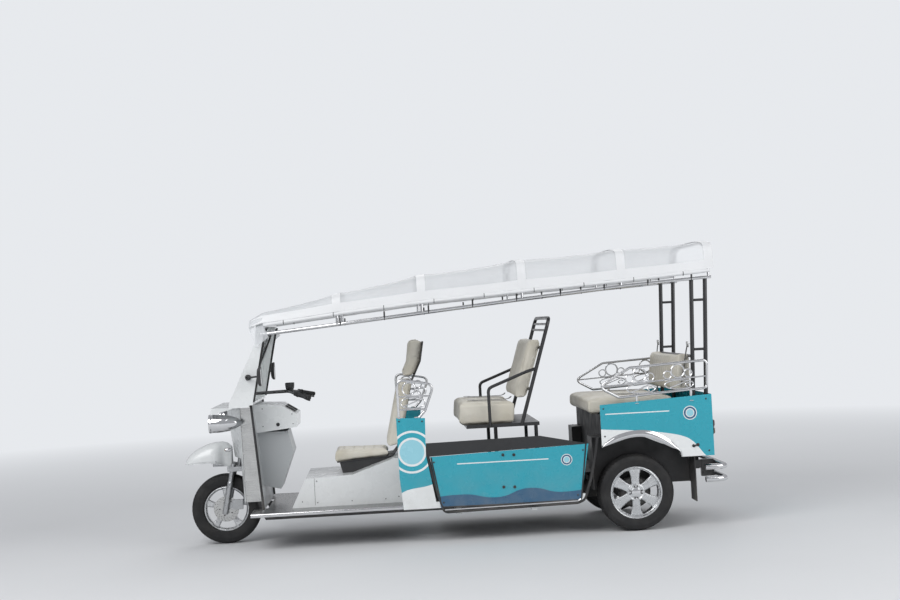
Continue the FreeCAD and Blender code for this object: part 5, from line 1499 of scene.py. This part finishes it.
def headlamps(side):
    """Bullet lamp: plated case with a beaded ring, bowl reflector and fluted glass."""
    name = side_name(side)
    centre = (front_axle, side * lamp_half, lamp_height)
    radius = lamp_radius
    case = Form()
    case.lathe([
        (-0.050, radius - 0.005), (-0.060, radius - 0.004), (-0.0635, radius - 0.001),
        (-0.0635, radius + 0.0005), (-0.058, radius + 0.002), (-0.050, radius + 0.002), (-0.047, radius),
        (-0.044, radius - 0.001), (-0.042, radius), (0.0, radius), (0.030, radius * 0.985),
        (0.060, radius * 0.93), (0.090, radius * 0.84), (0.120, radius * 0.71), (0.145, radius * 0.56),
        (0.165, radius * 0.40), (0.180, radius * 0.23),
        (0.188, radius * 0.11), (0.192, 0.0002),
    ], centre, (1, 0, 0), 64)
    start = (front_axle + 0.178, side * (nose_half + 0.002), lamp_height)
    end = (front_axle + 0.150, side * (lamp_half - 0.030), lamp_height)
    case.tube([start, end], 0.011, 16)
    case.piece("headlamp_case_" + name, "chrome_tube", "chassis", once(side, "headlamp_shells"))
    bowl = Form()
    bowl.lathe([
        (-0.052, radius - 0.006), (-0.040, radius * 0.80), (-0.020, radius * 0.55), (-0.005, radius * 0.28),
        (0.0, 0.0002),
    ], centre, (1, 0, 0), 48)
    bowl.lathe([(-0.026, 0.0002), (-0.026, 0.005), (-0.022, 0.008), (-0.004, 0.009)], centre, (1, 0, 0), 24)
    bowl.piece("headlamp_bowl_" + name, "chrome_tube", "chassis")
    lens = Form()
    outline = []
    for k in range(12):
        t = 1 - k / 11
        outline.append((glass_face - glass_bulge * (1 - t ** 2), (radius - 0.004) * t + 0.0002))
    lens.lathe(outline, centre, (1, 0, 0), 64)
    lens.piece("headlamp_glass_" + name, "lens_glass", "chassis", once(side, "headlamp_lenses"))
    flutes = Form()
    for k in range(-5, 6):
        y = k * 0.0105
        half = math.sqrt(max((radius - 0.010) ** 2 - y * y, 0.0001))
        path = []
        for m in range(9):
            z = -half + 2 * half * m / 8
            away = math.sqrt(y * y + z * z) / (radius - 0.004)
            bulge = glass_bulge * (1 - away ** 2)
            path.append((centre[0] + glass_face - bulge, centre[1] + y, centre[2] + z))
        flutes.tube(path, 0.0016, 6)
    flutes.piece("headlamp_flutes_" + name, "lens_glass", "chassis")
    lamp = Form()
    spot = (-1.700, side * (nose_half + 0.016), 0.748)
    lamp.lathe([
        (-0.016, 0.0135), (-0.018, 0.0145), (-0.012, 0.015), (0.010, 0.014), (0.026, 0.010), (0.036, 0.0045),
        (0.039, 0.0002),
    ], spot, (1, 0, 0), 32)
    lamp.tube([(-1.692, side * (nose_half + 0.002), 0.748), (-1.692, spot[1], 0.748)], 0.005, 12)
    lamp.piece("turn_lamp_" + name, "chrome_tube", "chassis")
    amber = Form()
    amber.lathe([(-0.015, 0.0130), (-0.021, 0.0110), (-0.025, 0.006), (-0.026, 0.0002)], spot, (1, 0, 0), 24)
    amber.piece("turn_glass_" + name, "lens_glass", "chassis",
                material=finish_of("amber_lens"))


# Trim, seals and fittings

body_half = 0.700
board_half = 0.650
plinth_half = 0.400
nose_top = 1.072
fork_lead = 0.041
fork_rake = math.radians(12)
fork_half = 0.096
shield_half = 0.521
pillar_half = 0.551
bar_radius = 0.011
tail_lamp_span = (0.540, 0.660)
webbing_half = 0.023
guide_place = (1.806, 0.600)
arch_top = (
    (1.104, 0.652), (1.150, 0.690), (1.225, 0.727), (1.320, 0.750), (1.402, 0.754), (1.480, 0.742),
    (1.560, 0.706), (1.630, 0.654), (1.692, 0.588), (1.702, 0.540),
)
arch_bottom = (
    (1.104, 0.636), (1.150, 0.650), (1.225, 0.674), (1.320, 0.697), (1.402, 0.700), (1.470, 0.684),
    (1.545, 0.650), (1.612, 0.613), (1.676, 0.582), (1.690, 0.540),
)
lap_line = (
    (0.040, 0.0, 0.020), (0.010, -0.004, 0.004), (-0.080, -0.020, 0.0035), (-0.180, 0.010, 0.003),
    (-0.250, 0.050, 0.003),
)


def bright_sheets(side):
    """Polished side sheet of the nose with its folded edges and rivets, and the board's edge rail."""
    name = side_name(side)
    form = Form()
    x = front_axle
    inner = side * nose_half
    outer = side * (nose_half + 0.002)
    low, high = 0.340, 1.070
    foot = [(x + 0.178, low), (x + 0.317, low), (x + 0.263, high), (x + 0.165, high)]
    form.slab(foot, min(inner, outer), max(inner, outer))
    for a, b in ((foot[0], foot[3]), (foot[1], foot[2])):
        form.tube([(a[0], outer, a[1]), (b[0], outer, b[1])], 0.003, 8)
    for k in range(7):
        t = (k + 0.5) / 7
        for a, b, shift in ((foot[0], foot[3], 0.010), (foot[1], foot[2], -0.010)):
            spot = (a[0] + (b[0] - a[0]) * t + shift, outer, a[1] + (b[1] - a[1]) * t)
            form.lathe([(0.0, 0.0040), (0.0012, 0.0036), (0.0020, 0.0020), (0.0022, 0.0001)],
                       spot, (0, side, 0), 12)
    form.piece("bright_sheets_" + name, "bright_steel", "chassis", once(side, "bright_trims"), bevel=0.0006)
    rail = Form()
    section = []
    for k in range(13):
        a = math.radians(-90 + 180 * k / 12)
        section.append((side * (board_half + 0.001 + 0.0085 * math.cos(a)), 0.274 + 0.0140 * math.sin(a)))
    rail.rows([[(run, y, z) for y, z in section] for run in (x + 0.240, x + 0.60, x + 1.0, x + 1.390)],
              close_across=True, cap=True)
    rail.piece("board_rail_" + name, "chrome_tube", "chassis", bevel=0.001)

    arch = Form()
    upper = curved([(a, 0, b) for a, b in arch_top], 8)
    lower = curved([(a, 0, b) for a, b in arch_bottom], 8)
    rows = []
    for top, bottom in zip(upper, lower):
        row = [(bottom.x, side * (body_half - 0.018), bottom.z)]
        for k in range(9):
            t = k / 8
            spot = bottom.lerp(top, t)
            out = body_half + 0.0015 + 0.012 * math.sin(math.pi * min(1, t * 1.05)) ** 0.8
            row.append((spot.x, side * out, spot.z))
        row.append((top.x, side * body_half, top.z))
        rows.append(row)
    arch.rows(rows)
    made = arch.piece("arch_strip_" + name, "chrome_tube", "chassis", crease=50)
    made.modifiers.new("sheet", "SOLIDIFY").thickness = 0.0015


def seals(side):
    """Black rubber round the side openings, the pillars and the shield, with the bright lower strip."""
    name = side_name(side)
    y = side * (body_half - 0.004)
    rubber = Form()
    opening = [(1.074, 0.720), (1.052, 0.600), (1.012, 0.420), (0.955, 0.262), (0.905, 0.243), (0.40, 0.236),
               (-0.080, 0.229), (-0.104, 0.262), (-0.165, 0.500), (-0.196, 0.660)]
    rubber.tube(bent([(a, side * (body_half - 0.012), b) for a, b in opening], 0.06), 0.0125, 12)
    if side < 0:
        frame_line = [(0.985, 0.680), (0.932, 0.280), (0.915, 0.262), (0.30, 0.262), (-0.100, 0.266),
                      (-0.112, 0.290), (-0.170, 0.636)]
        rubber.tube(bent([(a, y - 0.004, b) for a, b in frame_line], 0.02), 0.0055, 10)
    shield = [(front_axle + 0.329, 0.300), (front_axle + 0.271, 1.086)]
    rubber.tube([(a, side * shield_half, b) for a, b in shield], 0.009, 12)
    pillar = [(front_axle + 0.296, 1.110), (front_axle + 0.408, 1.640), (front_axle + 0.420, 1.652)]
    rubber.tube(bent([(a, side * pillar_half, b) for a, b in pillar], 0.02), 0.008, 12)
    rubber.piece("seals_" + name, "black_rubber", "chassis", once(side, "edge_rubbers"))
    strip = Form()
    low_line = [(-0.085, 0.246), (0.40, 0.251), (0.905, 0.257), (0.925, 0.268)]
    strip.tube(bent([(a, side * (body_half + 0.002), b) for a, b in low_line], 0.02), 0.006, 10)
    strip.piece("sill_strip_" + name, "chrome_tube", "chassis")


def screen_seal():
    """Rubber loop with round corners about the windscreen."""
    low = (front_axle + 0.150, 1.112)
    high = (front_axle + 0.366, 1.600)
    form = Form()
    corners = [(a, y, b) for (a, b), y in ((low, -0.534), (low, 0.534), (high, 0.534), (high, -0.534))]
    form.tube(bent(corners, 0.075, closed=True), 0.0075, 10, closed=True)
    form.piece("screen_seal", "black_rubber", "chassis")


def button(form, x, y, z, side, radius, height):
    """A round head on its washer."""
    form.lathe([(0, radius * 1.35), (0.0015, radius * 1.35), (0.002, radius), (height, radius * 0.85),
                (height + 0.001, radius * 0.5), (height + 0.001, 0.0001)], (x, y, z), (0, side, 0), 20)


def side_fittings():
    """Bolts and turn latches on the panels."""
    bolts = Form()
    left = -body_half
    for x, z in ((0.363, 0.627), (0.444, 0.623), (0.358, 0.390), (0.439, 0.386)):
        button(bolts, x, left, z, -1, 0.0085, 0.007)
        bolts.box((x - 0.002, left - 0.011, z - 0.007), (x + 0.002, left - 0.008, z + 0.007))
    for x, z in ((-0.150, 0.600), (0.960, 0.630), (0.905, 0.300), (-0.092, 0.300)):
        button(bolts, x, left, z, -1, 0.005, 0.003)
    for side in (-1, 1):
        y = side * body_half
        for x, z in ((-0.392, 0.915), (-0.222, 0.908), (1.128, 0.925), (1.900, 0.960), (1.905, 0.575),
                     (1.130, 0.720)):
            button(bolts, x, y, z, side, 0.0048, 0.003)
        for x, z in ((1.790, 0.615), (1.822, 0.622)):
            button(bolts, x, y, z, side, 0.009, 0.008)
        near, far = sorted((y, y + side * 0.006))
        bolts.box((1.780, near, 0.612), (1.832, far, 0.624))
    bolts.piece("panel_bolts", "black_plastic", "chassis", bevel=0.0004)


def mirror(side):
    """Mirror on the windscreen pillar: clamp, bent arm, rounded case and its glass."""
    name = side_name(side)
    form = Form()
    base = Vector((front_axle + 0.265, side * 0.566, 1.296))
    form.lathe([(0.0, 0.022), (0.012, 0.022), (0.018, 0.016), (0.026, 0.012)], base, (0, side, 0), 24)
    elbow = base + Vector((0.010, side * 0.040, 0.0))
    form.tube(bent([base, elbow, base + Vector((0.082, side * 0.070, 0.006))], 0.02), 0.007, 14)
    centre = Vector((front_axle + 0.356, side * 0.658, 1.302))
    around = squared_ring(48, 0.050, 0.072, 0.55, 0.55)
    form.rows([
        [centre + Vector((depth, u * grow, v * grow)) for u, v in around]
        for depth, grow in ((-0.017, 0.15), (-0.0165, 0.45), (-0.012, 0.78), (-0.002, 0.96), (0.008, 1.0),
                            (0.0145, 0.985), (0.0150, 0.95), (0.0125, 0.93))
    ], close_across=True, cap=True)
    form.piece("mirror_case_" + name, "black_plastic", "chassis", once(side, "mirrors"))
    face = Form()
    face.rows([
        [centre + Vector((depth, u * grow, v * grow)) for u, v in around]
        for depth, grow in ((0.0130, 0.93), (0.0136, 0.6), (0.0140, 0.02))
    ], close_across=True)
    face.piece("mirror_glass_" + name, "bright_steel", "chassis", material=finish_of("mirror_silver"))


def dash_fittings():
    """Vents in the sloped top, key switch and screws of the dash box."""
    form = Form()
    x = front_axle
    for k in range(3):
        for run in (-1, 1):
            start = Vector((x + 0.500, run * (0.060 + 0.045 * k), 1.047))
            end = Vector((x + 0.575, run * (0.060 + 0.045 * k), 0.999))
            form.tube([start, end], 0.006, 12)
    form.lathe([(0, 0.014), (0.003, 0.014), (0.004, 0.010), (0.008, 0.0095), (0.0085, 0.0001)],
               (x + 0.445, -0.250, 0.915), (0, -1, 0), 24)
    form.box((x + 0.443, -0.262, 0.908), (x + 0.447, -0.257, 0.922))
    for a, z in ((0.330, 0.905), (0.330, 1.040), (0.560, 0.915), (0.555, 0.990)):
        for side in (-1, 1):
            form.lathe([(0, 0.0042), (0.0015, 0.0038), (0.002, 0.0001)],
                       (x + a, side * 0.250, z), (0, side, 0), 12)
    form.piece("dash_fittings", "black_plastic", "chassis")


def fork_fittings():
    """Wide lower sliders and the axle nuts of the fork."""
    form = Form()
    lean = Vector((math.sin(fork_rake), 0, math.cos(fork_rake)))
    for side in (-1, 1):
        hub = Vector((front_axle, side * fork_half, front_radius))
        form.lathe([
            (-0.036, 0.0001), (-0.036, 0.019), (-0.030, 0.0235), (0.150, 0.0245), (0.205, 0.0245),
            (0.212, 0.0225), (0.218, 0.0202),
        ], hub, lean, 32)
        form.lathe([(0.018, 0.016), (0.026, 0.016), (0.026, 0.011), (0.036, 0.0105), (0.037, 0.0001)],
                   hub, (0, side, 0), 6)
    form.piece("fork_sliders", "fork_alloy", "steering")


def handlebar():
    """Pulled back bars on their clamp, ribbed grips, levers and a rounded instrument pod."""
    z = nose_top + 0.078
    top_x = front_axle + (z - front_radius) * math.tan(fork_rake) + fork_lead
    form = Form()
    for side in (-1, 1):
        points = [
            (top_x, side * 0.027, z), (top_x + 0.300, side * 0.060, z + 0.006),
            (top_x + 0.370, side * 0.240, z - 0.012), (top_x + 0.470, side * 0.345, z - 0.040),
        ]
        form.tube(bent(points, 0.06), bar_radius, 18)
    form.tube([(top_x + 0.292, -0.062, z + 0.005), (top_x + 0.292, 0.062, z + 0.005)], 0.0105, 16)
    form.box((top_x - 0.020, -0.038, z - 0.018), (top_x + 0.020, 0.038, z + 0.018))
    for side in (-1, 1):
        for shift in (-0.011, 0.011):
            form.lathe([(0, 0.006), (0.005, 0.006), (0.006, 0.0045), (0.006, 0.0001)],
                       (top_x + shift, side * 0.027, z + 0.018), (0, 0, 1), 16)
    form.piece("bar_tubes_bent", "axle_steel", "steering", ["handlebar"], bevel=0.0015)
    grips = Form()
    for side in (-1, 1):
        start = Vector((top_x + 0.380, side * 0.2505, z - 0.0148))
        end = Vector((top_x + 0.470, side * 0.345, z - 0.040))
        along = (end - start).normalized()
        long = (end - start).length
        outline = [(-0.004, 0.0115), (-0.004, 0.0200), (0.002, 0.0205), (0.006, 0.0165)]
        for k in range(12):
            t = 0.010 + (long - 0.016) * k / 12
            outline += [(t, 0.0160), (t + 0.004, 0.0172), (t + 0.007, 0.0160)]
        outline += [(long, 0.0175), (long + 0.004, 0.0170), (long + 0.0055, 0.0001)]
        grips.lathe(outline, start, along, 24)
        spot = Vector((top_x + 0.366, side * 0.228, z - 0.010))
        grips.lathe([(-0.013, 0.0115), (-0.013, 0.0180), (0.013, 0.0180), (0.013, 0.0115)], spot, along, 20)
        bends = ((0.016, -0.004, -0.010), (0.034, 0.012, -0.020), (0.082, 0.058, -0.044),
                 (0.108, 0.086, -0.052))
        lever = curved([spot + Vector((a, side * b, c)) for a, b, c in bends], 6)
        grips.tube(lever, 0.0055, 12, flat=0.6)
    grips.piece("bar_grips", "black_rubber", "steering")
    pod = Form()
    centre = Vector((top_x + 0.305, 0.0, z + 0.040))
    around = squared_ring(56, 0.035, 0.065, 0.6, 0.5)
    pod.rows([
        [centre + Vector((u * grow, v * grow, up)) for u, v in around]
        for up, grow in ((-0.030, 0.62), (-0.026, 0.74), (-0.010, 0.92), (0.010, 0.99), (0.024, 1.0),
                         (0.030, 0.975), (0.0305, 0.93), (0.026, 0.91))
    ], close_across=True, cap=True)
    pod.lathe([(0.026, 0.0245), (0.0285, 0.0240), (0.0285, 0.0225), (0.0262, 0.0225)], centre, (0, 0, 1), 40)
    pod.piece("instrument_pod", "black_plastic", "steering")


def tail_lamp(side):
    """Black case with red over amber ribbed lenses, cut off by a dark bar."""
    name = side_name(side)
    x = rear_axle + 0.590
    low, high = sorted(side * out for out in tail_lamp_span)
    case = Form()
    case.box((x, low, 0.690), (x + 0.014, high, 0.800))
    case.box((x + 0.012, low, 0.741), (x + 0.022, high, 0.745))
    case.piece("tail_lamp_" + name + "_case", "black_plastic", "chassis", once(side, "tail_lamps"),
               bevel=0.003)
    for part, bottom, top, tint in (("stop", 0.748, 0.796, "red_lens"), ("turn", 0.694, 0.738, "amber_lens")):
        lens = Form()
        rows = []
        for i in range(13):
            v = i / 12
            row = []
            for j in range(49):
                u = j / 48
                edge = min(1.0, 6 * min(u, 1 - u, v, 1 - v)) ** 0.5
                rib = 0.0007 * math.sin(2 * math.pi * 16 * u)
                row.append((x + 0.0145 + (0.0125 + rib) * edge, low + 0.005 + (high - low - 0.010) * u,
                            bottom + (top - bottom) * v))
            rows.append(row)
        lens.rows(rows)
        lens.piece("tail_lens_" + name + "_" + part, "red_lens", "chassis",
                   material=finish_of(tint))


def belts():
    """Lap belts lying on the middle seat and the bench, each with a metal tongue, and the belt guides."""
    cloth = Form()
    metalwork = Form()
    for y in (-0.30, 0.28):
        for x, z in ((front_axle + 2.20, 1.016), (rear_axle + 0.22, 1.004)):
            path = curved([Vector((x, y, z)) + Vector(step) for step in lap_line], 8)
            rows = []
            for a, b in zip(path, path[1:] + [path[-1] * 2 - path[-2]]):
                along = (b - a).normalized()
                side = Vector((-along.y, along.x, 0)).normalized() * webbing_half
                rows.append([
                    a + side * k + Vector((0, 0, 0.0012 * (1 - k * k)))
                    for k in (-1, -0.5, 0, 0.5, 1)
                ])
            cloth.rows(rows)
            end = path[-1]
            metalwork.box((end.x - 0.045, end.y - 0.016, end.z),
                          (end.x + 0.006, end.y + 0.024, end.z + 0.004))
    for side in (-1, 1):
        x, y = guide_place[0], side * guide_place[1]
        path = curved([
            (x + 0.020, y, 1.372), (x - 0.004, y - side * 0.004, 1.360), (x - 0.030, y - side * 0.03, 1.22),
            (x - 0.060, y - side * 0.06, 1.05),
        ], 8)
        cloth.rows([[a + Vector((0, 0.021 * k, 0)) for k in (-1, -0.5, 0, 0.5, 1)] for a in path])
        loop = [(x, y - 0.028, 1.352), (x - 0.004, y - 0.028, 1.388), (x - 0.004, y + 0.028, 1.388),
                (x, y + 0.028, 1.352)]
        metalwork.tube(bent(loop, 0.010, closed=True), 0.004, 10, closed=True)
    made = cloth.piece("belt_webbing", "black_rubber", "chassis", crease=60, material=finish_of("belt_web"))
    made.modifiers.new("sheet", "SOLIDIFY").thickness = 0.0014
    metalwork.piece("belt_metal", "bright_steel", "chassis", bevel=0.0008)


def plinth_seams():
    """Seam line and screws of the plinth's side sheet."""
    form = Form()
    for side in (-1, 1):
        y = side * plinth_half
        near, far = sorted((y, y + side * 0.0008))
        form.box((-1.0545, near, 0.300), (-1.0520, far, 0.503))
        for x, z in ((-1.035, 0.480), (-1.035, 0.318), (-0.775, 0.318), (-0.520, 0.318), (-0.420, 0.330),
                     (-1.150, 0.330)):
            form.lathe([(0, 0.0046), (0.0016, 0.0040), (0.0024, 0.0001)], (x, y, z), (0, side, 0), 12)
    form.piece("plinth_seams", "black_plastic", "chassis")


# The whole scene

camera()
studio()
floor()
dress_nodes()
roof_rails()
canopy()
front_flaps()
curtains()
seats()
both(rails)
bumper()
both(rear_rim)
front_rim()
mudguard()
both(headlamps)
both(bright_sheets)
both(seals)
screen_seal()
side_fittings()
both(mirror)
dash_fittings()
fork_fittings()
handlebar()
both(tail_lamp)
belts()
plinth_seams()
